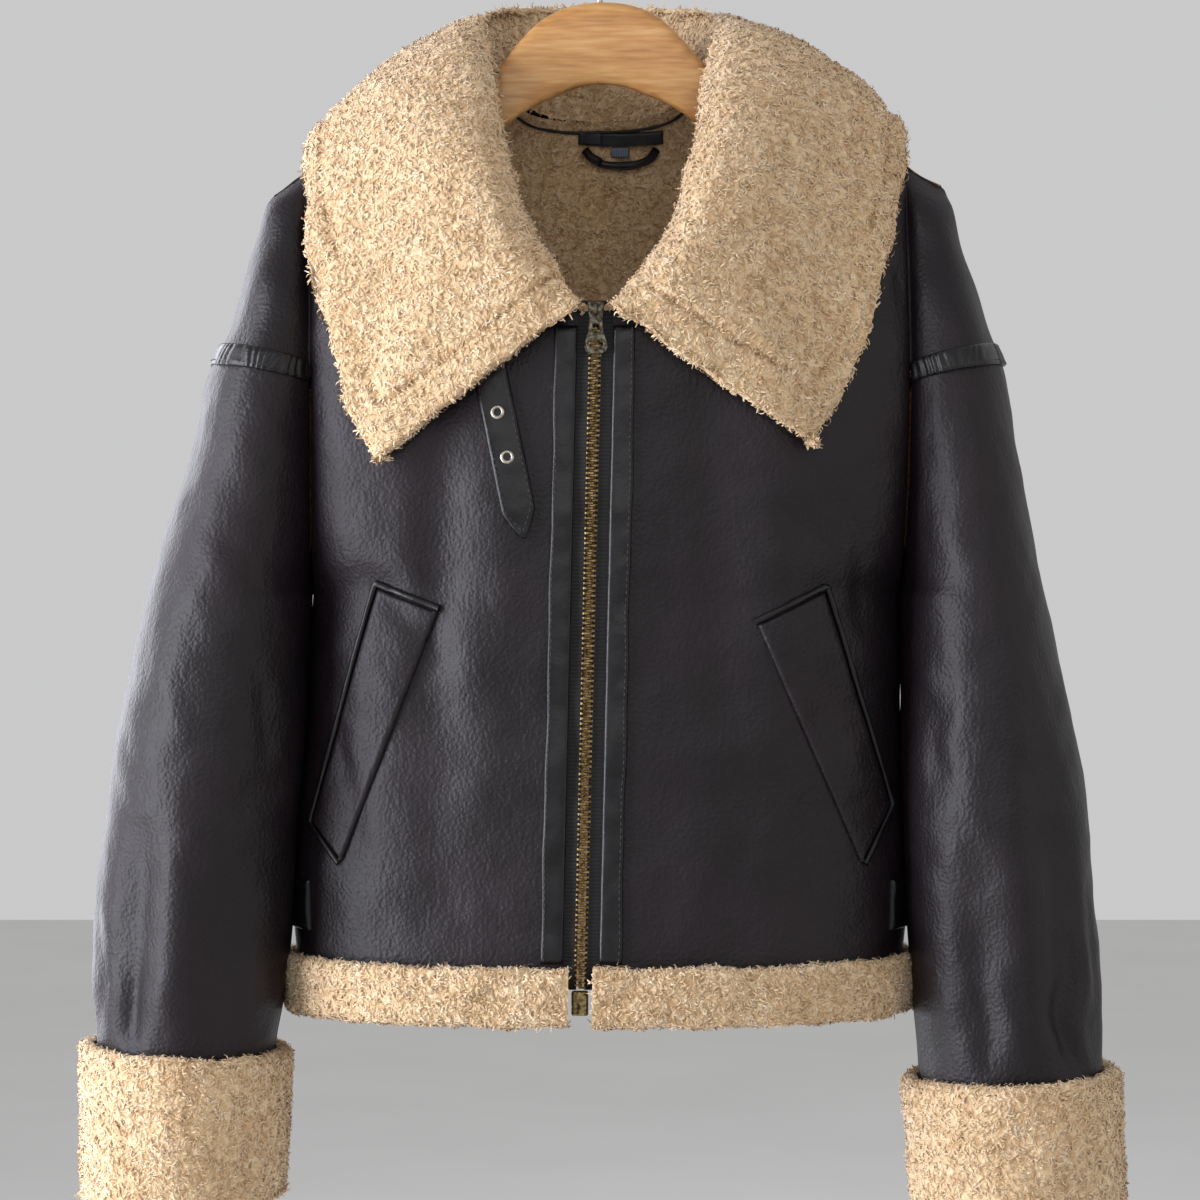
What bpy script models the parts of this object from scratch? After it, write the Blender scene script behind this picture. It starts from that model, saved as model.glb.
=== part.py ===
"""A zipped aviator jacket of bonded leather and curly pile, hanging filled out on a wooden hanger.

The jacket faces -Y, +X is to the right of someone who faces it, and the origin is the point where the hook
hangs on its rail. Sizes are in millimetres here and become metres when a mesh is made.
"""

import math

import bmesh
import bpy
from mathutils import Matrix, Vector
from mathutils.bvhtree import BVHTree

MM = 0.001
GAP = 0.3  # between two pieces that meet at a seam
WALL = 5.0  # leather with its pile lining
LAID = 0.9  # under a piece that lies on the leather, so that it clears the flat facets

LEATHER = ("leather", (0.020, 0.015, 0.017), 0.42, 0.0)
TRIM = ("smooth leather trim", (0.012, 0.011, 0.013), 0.34, 0.0)
PILE = ("curly pile", (0.68, 0.52, 0.34), 0.95, 0.0)
BRASS = ("antique brass", (0.36, 0.27, 0.13), 0.40, 1.0)
TAPE = ("woven tape", (0.012, 0.012, 0.013), 0.80, 0.0)
WOOD = ("lacquered beech", (0.60, 0.36, 0.14), 0.38, 0.0)
STEEL = ("plated steel wire", (0.55, 0.55, 0.56), 0.28, 1.0)

SIDES = ((-1, "left"), (1, "right"))
FRONT, BACK = -1, 1


# ---------------------------------------------------------------- tables and curves


def table(columns, *rows):
    """Rows of sizes under named columns."""
    return [dict(zip(columns.split(), row)) for row in rows]


def read(rows, key, at, column):
    """The column's value at one value of the key, on a smooth curve through the rows, level past its ends."""
    rows = sorted(rows, key=lambda row: row[key])
    if at <= rows[0][key]:
        return rows[0][column]
    if at >= rows[-1][key]:
        return rows[-1][column]
    after = next(i for i, row in enumerate(rows) if row[key] > at)
    before = after - 1

    def slope(i):
        low, high = max(i - 1, 0), min(i + 1, len(rows) - 1)
        return (rows[high][column] - rows[low][column]) / (rows[high][key] - rows[low][key])

    span = rows[after][key] - rows[before][key]
    t = (at - rows[before][key]) / span
    return (
        rows[before][column] * (1 + 2 * t) * (1 - t) ** 2
        + rows[after][column] * t * t * (3 - 2 * t)
        + slope(before) * span * t * (1 - t) ** 2
        - slope(after) * span * t * t * (1 - t)
    )


def steps(first, last, count):
    """Evenly spaced values from first to last, both of them included."""
    return [first + (last - first) * i / (count - 1) for i in range(count)]


def bump(away, width):
    """A soft bell, 1 at its centre."""
    return math.exp(-((away / width) ** 2))


# ---------------------------------------------------------------- meshes and materials

collection = bpy.data.collections.new("Aviator jacket on a hanger")
cutters = bpy.data.collections.new("Cutters")


def clear_scene():
    for obj in list(bpy.data.objects):
        bpy.data.objects.remove(obj)
    for home in (collection, cutters):
        bpy.context.scene.collection.children.link(home)


def material(finish):
    name, colour, roughness, metallic = finish
    made = bpy.data.materials.get(name)
    if made is None:
        made = bpy.data.materials.new(name)
        made.use_nodes = True
        shader = made.node_tree.nodes["Principled BSDF"]
        shader.inputs["Base Color"].default_value = (*colour, 1.0)
        shader.inputs["Roughness"].default_value = roughness
        shader.inputs["Metallic"].default_value = metallic
    return made


def finish_object(obj, finish, smooth_angle=50.0):
    obj.data.materials.append(material(finish))
    if obj.type == "MESH":
        obj.data.shade_smooth()
        obj.data.set_sharp_from_angle(angle=math.radians(smooth_angle))
    for home in list(obj.users_collection):
        home.objects.unlink(obj)
    collection.objects.link(obj)
    return obj


def object_from(name, bm, finish):
    """A new object of the bmesh, whose points are in millimetres."""
    bmesh.ops.transform(bm, matrix=Matrix.Scale(MM, 4), verts=bm.verts)
    mesh = bpy.data.meshes.new(name)
    bm.to_mesh(mesh)
    bm.free()
    return finish_object(bpy.data.objects.new(name, mesh), finish)


def loft(name, sections, finish, ring=False):
    """A solid through closed sections, which run along the piece. Without ring its ends are capped."""
    bm = bmesh.new()
    loops = [[bm.verts.new(p) for p in section] for section in sections]
    pairs = list(zip(loops, loops[1:])) + ([(loops[-1], loops[0])] if ring else [])
    for a, b in pairs:
        for i in range(len(a)):
            j = (i + 1) % len(a)
            bm.faces.new((a[i], a[j], b[j], b[i]))
    if not ring:
        bm.faces.new(loops[0])
        bm.faces.new(list(reversed(loops[-1])))
    bmesh.ops.recalc_face_normals(bm, faces=bm.faces)
    return object_from(name, bm, finish)


def slab(name, lower, upper, finish):
    """A solid between two grids of points, which have the same rows and columns."""
    bm = bmesh.new()
    low = [[bm.verts.new(p) for p in row] for row in lower]
    top = [[bm.verts.new(p) for p in row] for row in upper]
    rows, columns = len(low), len(low[0])
    for r in range(rows - 1):
        for c in range(columns - 1):
            bm.faces.new((top[r][c], top[r][c + 1], top[r + 1][c + 1], top[r + 1][c]))
            bm.faces.new((low[r][c], low[r + 1][c], low[r + 1][c + 1], low[r][c + 1]))
    for c in range(columns - 1):
        bm.faces.new((low[0][c], low[0][c + 1], top[0][c + 1], top[0][c]))
        bm.faces.new((low[-1][c], top[-1][c], top[-1][c + 1], low[-1][c + 1]))
    for r in range(rows - 1):
        bm.faces.new((low[r][0], top[r][0], top[r + 1][0], low[r + 1][0]))
        bm.faces.new((low[r][-1], low[r + 1][-1], top[r + 1][-1], top[r][-1]))
    bmesh.ops.recalc_face_normals(bm, faces=bm.faces)
    return object_from(name, bm, finish)


def box(centre, size, top_share=1.0):
    """A bmesh block. top_share narrows its upper face across X."""
    bm = bmesh.new()
    bmesh.ops.create_cube(bm, size=1.0)
    for vert in bm.verts:
        wide = size[0] * (top_share if vert.co.z > 0 else 1.0)
        vert.co = Vector((vert.co.x * wide, vert.co.y * size[1], vert.co.z * size[2])) + Vector(centre)
    return bm


def joined(obj, *others):
    """The first object with the others united into it."""
    for other in others:
        union = obj.modifiers.new("Union with " + other.name, "BOOLEAN")
        union.operation = "UNION"
        union.object = other
        other.hide_render = True
        other.display_type = "WIRE"
        collection.objects.unlink(other)
        cutters.objects.link(other)
    return obj


def bevelled(obj, width, segments=2):
    bevel = obj.modifiers.new("Bevel", "BEVEL")
    bevel.width = width * MM
    bevel.segments = segments
    bevel.limit_method = "ANGLE"
    bevel.angle_limit = math.radians(40)
    return obj


# ---------------------------------------------------------------- the body's form

HEM = -718.0  # lowest edge of the leather, inside the turned-up pile hem
ARMPIT = -460.0
ARMHOLE = -320.0  # where the armhole seam turns from the side of the body round the upper arm
STRIP = 6.5  # half the height of the band over that seam
SQUARENESS = 2.3  # power of the body's oval: 2 is an ellipse, and more is boxier
TILT = 0.025  # the hanger hangs a little higher on the right

RIDGE = table("x z", (0, -73), (72, -115), (90, -125), (120, -142), (160, -165), (196, -187), (208, -196), (223, -203))
NECK = {
    FRONT: table("x z", (0, -286), (12, -281), (29, -265), (52, -238), (66, -190), (70, -150), (76, -117.3)),
    BACK: table("x z", (0, -148), (30, -147), (55, -140), (76, -117.3)),
}
NECK_HALF = 76.0

BODY = table(
    "z left right front back middle",
    (-718, 192, 192, 101, 99, 8),
    (-660, 192, 193, 100, 99, 8),
    (-607, 190, 192, 99, 98, 8),
    (-540, 187, 191, 97, 97, 8),
    (-500, 185, 191, 96, 96, 7),
    (-460, 184, 193, 96, 94, 5),
    (-390, 184, 196, 96, 92, 2),
    (-320, 184, 197, 96, 90, 0),
    (-250, 186, 197, 96, 90, 0),
    (-182, 192, 197, 96, 90, 0),
)

# Half the gap between front and back along the armhole, at the foot of the fold beside the sleeve.
ARMHOLE_FOLD = table(
    "z half",
    (-460, 0),
    (-440, 21),
    (-410, 33),
    (-370, 40),
    (-320, 42),
    (-285, 37),
    (-255, 30),
    (-230, 22),
    (-208, 16),
    (-199, 13),
    (-182, 0),
)

# Troughs of the body, as seen from the front. A negative depth stands out.
BODY_FOLDS = {
    FRONT: table(
        "top bottom x_top x_bottom width depth",
        (-300, -560, -96, -104, 17, 6),
        (-330, -520, -62, -58, 18, -3),
        (-480, -690, -108, -92, 20, 4),
        (-320, -560, 66, 78, 19, 5),
        (-330, -560, 112, 112, 18, -3),
        (-500, -700, 138, 128, 20, 4),
    ),
    BACK: table(
        "top bottom x_top x_bottom width depth",
        (-260, -560, -112, -124, 19, 6),
        (-300, -600, -64, -48, 20, -3),
        (-240, -540, 104, 118, 20, 5),
        (-420, -700, 52, 66, 22, 4),
    ),
}

ZIP_TOP, ZIP_BOTTOM = -281.0, -722.0
ZIP_X_TOP, ZIP_X_BOTTOM = -2.4, -12.6  # the zip hangs a little out of plumb
FRONT_EDGE = 11.0  # from the zip's centre line to the edge of each front


def zip_x(z):
    return ZIP_X_TOP + (ZIP_X_BOTTOM - ZIP_X_TOP) * (ZIP_TOP - z) / (ZIP_TOP - ZIP_BOTTOM)


def half_width(side, z):
    return read(BODY, "z", z, "left" if side < 0 else "right")


def ridge(x):
    """Height of the shoulder seam. Inside the neck it is where the seam would run on."""
    return read(RIDGE, "x", abs(x), "z") + TILT * x


def fall_away(drop, length):
    """Share of the body's depth reached this far below the shoulder seam, round over the hanger."""
    drop = max(drop, 0.0)
    return 1 - math.exp(-math.sqrt(drop / 1200) - drop / length)


def fold_depth(x, z, facing):
    """How far the folds set the leather back."""
    depth = 0.0
    for fold in BODY_FOLDS[facing]:
        along = min(max((fold["top"] - z) / (fold["top"] - fold["bottom"]), 0.0), 1.0)
        centre = fold["x_top"] + (fold["x_bottom"] - fold["x_top"]) * along
        depth += fold["depth"] * math.sin(math.pi * along) ** 0.8 * bump(x - centre, fold["width"])
    return depth


def body_y(x, z, facing):
    """Depth of the body's outer surface."""
    wide = half_width(x, z)
    share = min(abs(x) / wide, 1.0)
    middle = read(BODY, "z", z, "middle")
    length = 105 if facing == FRONT else 62
    full = read(BODY, "z", z, "front" if facing == FRONT else "back") * fall_away(ridge(x) - z, length)
    full -= facing * middle * min(full / 40, 1.0)
    edge = min(read(ARMHOLE_FOLD, "z", z, "half"), full)
    y = edge + (full - edge) * (1 - share**SQUARENESS) ** (1 / SQUARENESS)
    return middle * min(full / 40, 1.0) + facing * (y - fold_depth(x, z, facing) * min(full / 60, 1.0))


def body_at(x, z, facing, lift=0.0):
    """A point of the body's outer surface, moved out by lift."""
    point = Vector((x, body_y(x, z, facing), z))
    step = 1.0
    across = Vector((2 * step, body_y(x + step, z, facing) - body_y(x - step, z, facing), 0))
    upward = Vector((0, body_y(x, z + step, facing) - body_y(x, z - step, facing), 2 * step))
    return point - across.cross(upward).normalized() * (lift * facing)


def armhole_at(side, z, facing):
    """A point of the fold where the body meets the sleeve, and below the armpit of the side seam."""
    middle = read(BODY, "z", z, "middle")
    return Vector((side * half_width(side, z), middle + facing * read(ARMHOLE_FOLD, "z", z, "half"), z))


def top_edge(x, facing):
    return read(NECK[facing], "x", abs(x), "z") + TILT * x if abs(x) < NECK_HALF else ridge(x)


# ---------------------------------------------------------------- the sleeves' form

SLEEVES = {
    -1: table(
        "z outer inner depth centre",
        (-204, 213, 192, 0, 0),
        (-212, 217, 191, 16, 0),
        (-226, 222, 189, 27, 0),
        (-242, 226, 187, 36, 0),
        (-266, 232, 186, 48, 0),
        (-290, 238, 185, 57, 0),
        (-320, 253, 184, 64, 0),
        (-363, 262, 184, 68, -2),
        (-424, 280, 184, 70, -8),
        (-478, 294, 186, 71, -14),
        (-539, 308, 190, 71, -20),
        (-607, 318, 197, 69, -25),
        (-659, 323, 201, 66, -27),
        (-710, 324, 205, 63, -28),
        (-752, 321, 208, 60, -28),
        (-836, 320, 213, 57, -28),
    ),
    1: table(
        "z outer inner depth centre",
        (-198, 223, 197, 0, 0),
        (-211, 227, 197, 18, 0),
        (-226, 231, 197, 29, 0),
        (-244, 237, 197, 38, 0),
        (-272, 246, 197, 51, 0),
        (-296, 253, 197, 59, 0),
        (-320, 262, 197, 65, 0),
        (-376, 271, 196, 69, -3),
        (-453, 284, 193, 71, -11),
        (-505, 294, 194, 71, -16),
        (-556, 304, 196, 70, -21),
        (-607, 312, 198, 69, -25),
        (-659, 316, 200, 66, -27),
        (-710, 320, 202, 63, -28),
        (-762, 321, 204, 60, -28),
        (-854, 325, 211, 57, -28),
    ),
}
SLEEVE_END = {-1: -836.0, 1: -854.0}
TIP = {-1: 213.0, 1: 223.0}  # outer end of the shoulder, over the end of the hanger

# Rise of a row at the outside of the arm over its height at the armhole's fold.
ARCH = table("z rise", (-460, 0), (-400, 5), (-320, 14), (-290, 12), (-247, 3), (-212, -8), (-182, -15))

# Troughs of the sleeves: turn is the angle round the sleeve, 270 at the front.
SLEEVE_FOLDS = {
    -1: table(
        "turn top bottom width depth",
        (241, -600, -742, 15, 7),
        (300, -620, -742, 14, 5),
        (268, -560, -742, 14, -3),
        (95, -520, -742, 20, 6),
        (140, -430, -640, 18, 4),
    ),
    1: table(
        "turn top bottom width depth",
        (248, -600, -768, 14, 5),
        (305, -600, -768, 15, 7),
        (276, -560, -768, 14, -3),
        (80, -540, -768, 20, 6),
        (40, -430, -640, 18, 4),
    ),
}


def sleeve_at(side, share, fold_z, lift=0.0):
    """A point of the sleeve, or of the cap above it, moved out by lift. share goes from 0 to 1 round the arm,
    against the clock seen from above, from one edge of the armhole to the other. fold_z is the height of the
    point's row at the armhole's fold, from which the row arches over the outside of the arm."""
    rise = read(ARCH, "z", fold_z, "rise") if fold_z > ARMPIT else 0.0
    level = fold_z + rise
    outer, inner, depth, centre = (
        read(SLEEVES[side], "z", level, column) for column in ("outer", "inner", "depth", "centre")
    )
    half = read(ARMHOLE_FOLD, "z", fold_z, "half")
    opening = math.asin(min(half / max(depth, 1.0), 1.0))
    turn = opening + (2 * math.pi - 2 * opening) * share + (0 if side < 0 else math.pi)
    width = (outer - inner) / (1 + math.cos(opening))
    middle = side * (outer - width)
    for fold in SLEEVE_FOLDS[side]:
        along = min(max((fold["top"] - level) / (fold["top"] - fold["bottom"]), 0.0), 1.0)
        away = (math.degrees(turn) - fold["turn"] + 180) % 360 - 180
        lift -= fold["depth"] * math.sin(math.pi * along) ** 0.8 * bump(away, fold["width"])
    direction = Vector((math.cos(turn) * max(depth, 1.0), math.sin(turn) * width, 0)).normalized()
    z = fold_z + rise * math.sin(math.pi * share)
    return Vector((middle + math.cos(turn) * width, centre + math.sin(turn) * depth, z)) + direction * lift


def sleeve_row(side, count, fold_z, lift=0.0):
    """A row round the arm. fold_z is its height at the armhole's fold, and both its ends lie on that fold."""
    shares = steps(0, 1, count)
    line = [sleeve_at(side, t, fold_z, lift) for t in shares]
    if fold_z < ARMPIT:
        return line
    first = armhole_at(side, fold_z, -side) - sleeve_at(side, 0, fold_z)
    last = armhole_at(side, fold_z, side) - sleeve_at(side, 1, fold_z)
    reach = 0.25
    return [
        point + first * max(0.0, 1 - t / reach) ** 2 + last * max(0.0, 1 - (1 - t) / reach) ** 2
        for point, t in zip(line, shares)
    ]


# ---------------------------------------------------------------- the cloth, cut into its pieces

BODY_LEVELS = [HEM, -688, -650, -612, -574, -536, -496, ARMPIT]
UPPER_LEVELS = [-434, -402, -364, ARMHOLE - STRIP, ARMHOLE, ARMHOLE + STRIP, -286, -260, -236, -214, -199]
TURN_ROW = len(BODY_LEVELS) + UPPER_LEVELS.index(ARMHOLE)
NECK_COLUMNS = [0.0, 0.28, 0.50, 0.68, 0.85, 0.93]  # shares of the way from the centre to the neck point
SHOULDER_COLUMNS = [0.0, 0.13, 0.27, 0.41, 0.55, 0.68, 0.80, 0.90, 0.965, 1.0]  # and on to the armhole
MEAN_TOP = -186.0  # height of the last row, halfway between the two sides
SLEEVE_COLUMNS = 21
SLEEVE_LEVELS = 10  # rows from the sleeve's end to the armpit


def fold_heights(side):
    """Heights of the rows along the armhole's fold, from the hem up."""
    return BODY_LEVELS + UPPER_LEVELS + [ridge(side * half_width(side, -182))]


def across(side, facing, height, z_at):
    """Places across the body from its centre to the armhole, with one at the neck point. z_at gives the height
    of the place nearest the zip, where the fronts' edges follow the zip's line."""
    wide = half_width(side, height)
    neck = NECK_HALF / half_width(side, -182)
    shares = [neck * share for share in NECK_COLUMNS] + [neck + (1 - neck) * share for share in SHOULDER_COLUMNS]
    start = zip_x(z_at) + side * FRONT_EDGE if facing == FRONT else 0.0
    return shares, [side * wide * share + start * max(0.0, 1 - share / neck) for share in shares]


def body_rows(side, facing):
    """Rows of the body's outer surface, each from its centre to the armhole or side seam."""
    rows = []
    heights = fold_heights(side)
    top = heights[-1]
    for height in heights:
        line = []
        climbed = 1.0 if height == top else max(0.0, (height - ARMPIT) / (MEAN_TOP - ARMPIT))
        z_at = height if height <= ARMPIT else ARMPIT + (top_edge(FRONT_EDGE, facing) - ARMPIT) * climbed
        for share, x in zip(*across(side, facing, height, z_at)):
            z = height
            if height > ARMPIT:
                level = MEAN_TOP + (top - MEAN_TOP) * share
                climbed = 1.0 if height == top else (height - ARMPIT) / (level - ARMPIT)
                z = ARMPIT + (top_edge(x, facing) - ARMPIT) * climbed
            line.append(Vector((x, body_y(x, z, facing), z)))
        line[-1] = armhole_at(side, height, facing)
        if height == top:
            line = [Vector((p.x, 0, p.z)) if abs(p.x) > NECK_HALF - 0.01 else p for p in line]
        rows.append(line)
    return rows


def cap_rows(side):
    """Rows round the top of the arm, from the armhole seam up to the end of the hanger."""
    heights = fold_heights(side)[TURN_ROW:]
    rows = [sleeve_row(side, SLEEVE_COLUMNS, z) for z in heights[:-1]]
    start = half_width(side, -182)
    crest = []
    for share in steps(0, 1, SLEEVE_COLUMNS):
        x = side * (start + (TIP[side] - start) * (1 - abs(2 * share - 1)))
        crest.append(Vector((x, 0, ridge(x))))
    return rows + [crest]


def sleeve_rows(side):
    """Rows of the sleeve from its end up to the armhole seam."""
    heights = steps(SLEEVE_END[side], ARMPIT, SLEEVE_LEVELS)[:-1] + fold_heights(side)[len(BODY_LEVELS) - 1 : TURN_ROW + 1]
    return [sleeve_row(side, SLEEVE_COLUMNS, z) for z in heights]


def cloth_surface():
    """The leather side of the whole garment as one surface, each face tagged with the piece it is cut into."""
    bm = bmesh.new()
    tag = bm.faces.layers.int.new("piece")
    names = []

    def sheet(name, rows):
        if name not in names:
            names.append(name)
        verts = [[bm.verts.new(p) for p in row] for row in rows]
        for low, high in zip(verts, verts[1:]):
            for c in range(len(low) - 1):
                bm.faces.new((low[c], low[c + 1], high[c + 1], high[c]))[tag] = names.index(name)

    middle = SLEEVE_COLUMNS // 2
    for side, word in SIDES:
        cap = cap_rows(side)
        for facing, panel in ((FRONT, "front_"), (BACK, "back_")):
            rows = body_rows(side, facing)
            sheet(panel + word, [row[::-1] for row in rows] if side * facing > 0 else rows)
            half = slice(0, middle + 1) if side * facing < 0 else slice(middle, None)
            sheet(panel + word, [row[half] for row in cap])
        sheet("sleeve_" + word, sleeve_rows(side))
    bmesh.ops.remove_doubles(bm, verts=bm.verts, dist=0.05)
    bmesh.ops.dissolve_degenerate(bm, edges=bm.edges, dist=0.02)
    bm.normal_update()
    return bm, tag, names


def wall_normal(vert):
    """The direction out of the leather. At the foot of the armhole's fold, where the body and the sleeve face each
    other, it is straight out of the fold."""
    x, y, z = vert.co
    side = -1 if x < 0 else 1
    if ARMPIT - 0.1 < z < -190 and abs(abs(x) - half_width(side, z)) < 0.1:
        half = read(ARMHOLE_FOLD, "z", z, "half")
        off = y - read(BODY, "z", z, "middle")
        if abs(abs(off) - half) < 0.1:
            return Vector((0, math.copysign(1, off), 0)) if half > 1 else Vector((0, 0, -1))
    if abs(y) < 0.01 and z > -204:
        return Vector((vert.normal.x, 0, vert.normal.z)).normalized()
    return vert.normal


def cut_piece(bm, tag, number, name):
    """One piece of cloth: its faces of the surface and their copies a wall further in, closed along the edges,
    which are drawn back by half the gap of a seam. Both pieces at a seam split its narrow faces the same way."""
    faces = [face for face in bm.faces if face[tag] == number]
    rim = {edge for face in faces for edge in face.edges if sum(f[tag] == number for f in edge.link_faces) == 1}
    on_rim = {vert for edge in rim for vert in edge.verts}
    made = bmesh.new()
    outer, inner = {}, {}
    for vert in {vert for face in faces for vert in face.verts}:
        shift, normal = Vector(), wall_normal(vert)
        if vert in on_rim:
            near = [face for face in vert.link_faces if face[tag] == number]
            inward = sum((face.calc_center_median() for face in near), Vector()) / len(near) - vert.co
            ends = [edge.other_vert(vert).co - vert.co for edge in vert.link_edges if edge in rim]
            if len(ends) == 2:
                along = (ends[0].normalized() - ends[1].normalized()).normalized()
                inward -= along * inward.dot(along)
            inward -= normal * inward.dot(normal)
            shift = inward.normalized() * GAP * 0.6
            if len(ends) == 2:
                shift /= max(math.sin(ends[0].angle(ends[1]) / 2), 0.5)
        outer[vert] = made.verts.new(vert.co + shift)
        inner[vert] = made.verts.new(vert.co + shift - normal * WALL)
    for face in faces:
        made.faces.new([outer[vert] for vert in face.verts])
        made.faces.new([inner[vert] for vert in reversed(face.verts)])
        for loop in face.loops:
            if loop.edge in rim:
                a, b = loop.vert, loop.link_loop_next.vert
                if tuple(a.co.zyx) < tuple(b.co.zyx):
                    made.faces.new((outer[b], outer[a], inner[b]))
                    made.faces.new((outer[a], inner[a], inner[b]))
                else:
                    made.faces.new((outer[b], outer[a], inner[a]))
                    made.faces.new((outer[b], inner[a], inner[b]))
    return object_from(name, made, LEATHER)


def make_cloth():
    bm, tag, names = cloth_surface()
    for number, name in enumerate(names):
        cut_piece(bm, tag, number, name)
    tree = BVHTree.FromBMesh(bm)
    bm.free()
    return tree


def on_cloth(tree, x, z, facing, lift):
    """A point at this height over the faceted leather, straight in from the front or the back."""
    start = Vector((x, facing * 400, z))
    place, normal, _, _ = tree.ray_cast(start, Vector((0, -facing, 0)))
    return place + normal * lift


def clear_of_cloth(tree, point, lift):
    """The point, moved out where it is less than lift over the leather. A point past the leather's edge stays."""
    place, normal, _, _ = tree.find_nearest(point)
    offset = point - place
    height = offset.dot(normal)
    beside = (offset - normal * height).length
    return point + normal * (lift - height) if height < lift and beside < 3.0 else point


# ---------------------------------------------------------------- bands over the armhole seams

STRIP_THICK = 2.2


def make_armhole_strips():
    """A gathered band of smooth leather round the arm, over each dropped seam. Its ends pass into the folds."""
    for side, word in SIDES:
        grids = []
        for lift in (LAID * 0.5, LAID * 0.5 + STRIP_THICK):
            rows = [sleeve_row(side, SLEEVE_COLUMNS, ARMHOLE + off, lift) for off in (-STRIP, 0, STRIP)]
            grids.append([row[1:-1] for row in rows])
        slab("armhole_strip_" + word, *grids, TRIM)


# ---------------------------------------------------------------- turned-up pile at the cuffs and the hem

# Section of a turned edge: how far a point stands off the leather, and its height over the lowest point.
# top marks the points that belong to the upper edge and are measured down from it.
TURNED = table(
    "off height top",
    (1.2, 1.0, 1),
    (3.5, 0.0, 1),
    (8.0, 0.5, 1),
    (11.5, 4.0, 1),
    (12.5, 14.0, 1),
    (12.5, 12.0, 0),
    (11.0, 4.0, 0),
    (7.0, 0.0, 0),
    (-1.0, 0.0, 0),
    (-4.8, 3.0, 0),
    (-4.8, 11.7, 0),
    (1.2, 11.7, 0),
)
CUFF = {-1: (-749.0, -848.0), 1: (-766.0, -866.0)}
CUFF_SLANT = 3.0  # the cuffs sit this much lower towards the body
HEM_TOP, HEM_LOW = -692.0, -730.0
HEM_END = 7.4  # from the zip's centre line to the end of the hem


def turned_section(place, top, low):
    """Points of a turned edge. place gives the point that stands off the leather at a height."""
    heights = [top - row["height"] if row["top"] else low + row["height"] for row in TURNED]
    return [place(row["off"], height) for row, height in zip(TURNED, heights)]


def make_cuffs():
    for side, word in SIDES:
        top, low = CUFF[side]
        sections = []
        for k in range(SLEEVE_COLUMNS - 1):
            share = k / (SLEEVE_COLUMNS - 1)
            slant = -CUFF_SLANT * math.cos(2 * math.pi * share)
            sections.append(turned_section(lambda off, z: sleeve_at(side, share, z, off), top + slant, low))
        loft("cuff_" + word, sections, PILE, ring=True)


def body_loop(z):
    """The body's outline at one height, from the zip round the left side, the back and the right to the zip."""
    half_loops = []
    for side in (-1, 1):
        front = [Vector((x, body_y(x, z, FRONT), z)) for x in across(side, FRONT, z, z)[1][:-1]]
        front.insert(0, Vector((zip_x(z) + side * HEM_END, front[0].y, z)))
        back = [Vector((x, body_y(x, z, BACK), z)) for x in across(side, BACK, z, z)[1][:-1]]
        half_loops.append((front + [armhole_at(side, z, FRONT)], back))
    (left, left_back), (right, right_back) = half_loops
    return left + left_back[:0:-1] + right_back + right[::-1]


def make_hem():
    """The pile hem in three lengths, which meet at the side seams."""
    levels = {}

    def place(i, off, z):
        level = max(round(z), HEM)
        if level not in levels:
            levels[level] = body_loop(level)
        loop = levels[level]
        before, after = loop[max(i - 1, 0)], loop[min(i + 1, len(loop) - 1)]
        along = (after - before).normalized()
        point = loop[i] + Vector((along.y, -along.x, 0)) * -off
        return Vector((point.x, point.y, z))

    count = len(body_loop(HEM))
    seam = len(NECK_COLUMNS) + len(SHOULDER_COLUMNS)
    lengths = {
        "hem_front_left": range(0, seam + 1),
        "hem_back": range(seam, count - seam),
        "hem_front_right": range(count - seam - 1, count),
    }
    for name, indexes in lengths.items():
        sections = [turned_section(lambda off, z: place(i, off, z), HEM_TOP, HEM_LOW) for i in indexes]
        for end, nearby in ((0, 1), (-1, -2)):
            for a, b in zip(sections[end], sections[nearby]):
                a += (b - a).normalized() * GAP * 0.6
        loft(name, sections, PILE)


# ---------------------------------------------------------------- the collar

# Places round the collar, from the zip (0) to the centre back (7). The neck seam lies on the leather's edge at
# neck_x. The roll is the upper fold of the collar.
COLLAR = table(
    "u neck_x roll_x roll_y roll_z",
    (0, 8, 9, -97, -280),
    (1, 29, 26, -82, -253),
    (2, 52, 44, -64, -222),
    (3, 66, 58, -42, -168),
    (4, 72, 67, -10, -117),
    (5, 76, 74, 20, -86),
    (6, 48, 46, 62, -73),
    (7, 0, 0, 80, -70),
)
COLLAR_FALL = {
    -1: table(
        "u near_x near_y near_z mid_x mid_y mid_z edge_x edge_y edge_z",
        (0, 34, -101, -298, 80, -100, -333, 140, -90, -377),
        (1, 44, -98, -264, 98, -88, -284, 166, -72, -330),
        (2, 60, -90, -236, 116, -70, -230, 184, -48, -256),
        (3, 77, -64, -177, 130, -44, -166, 193, -24, -205),
        (4, 85, -16, -108, 134, -8, -119, 195, 2, -168),
        (5, 89, 25, -84, 136, 36, -113, 182, 50, -186),
        (6, 59, 76, -77, 92, 92, -128, 118, 86, -216),
        (7, 0, 93, -75, 0, 102, -130, 0, 101, -215),
    ),
    1: table(
        "u near_x near_y near_z mid_x mid_y mid_z edge_x edge_y edge_z",
        (0, 34, -101, -300, 76, -100, -327, 138, -90, -367),
        (1, 44, -98, -264, 98, -88, -278, 165, -70, -317),
        (2, 60, -90, -234, 118, -70, -225, 185, -48, -249),
        (3, 77, -64, -173, 133, -44, -160, 197, -24, -203),
        (4, 86, -16, -104, 140, -8, -112, 203, 2, -164),
        (5, 91, 25, -82, 140, 36, -109, 188, 50, -184),
        (6, 59, 76, -77, 92, 92, -127, 120, 86, -216),
        (7, 0, 93, -75, 0, 102, -130, 0, 101, -215),
    ),
}
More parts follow.
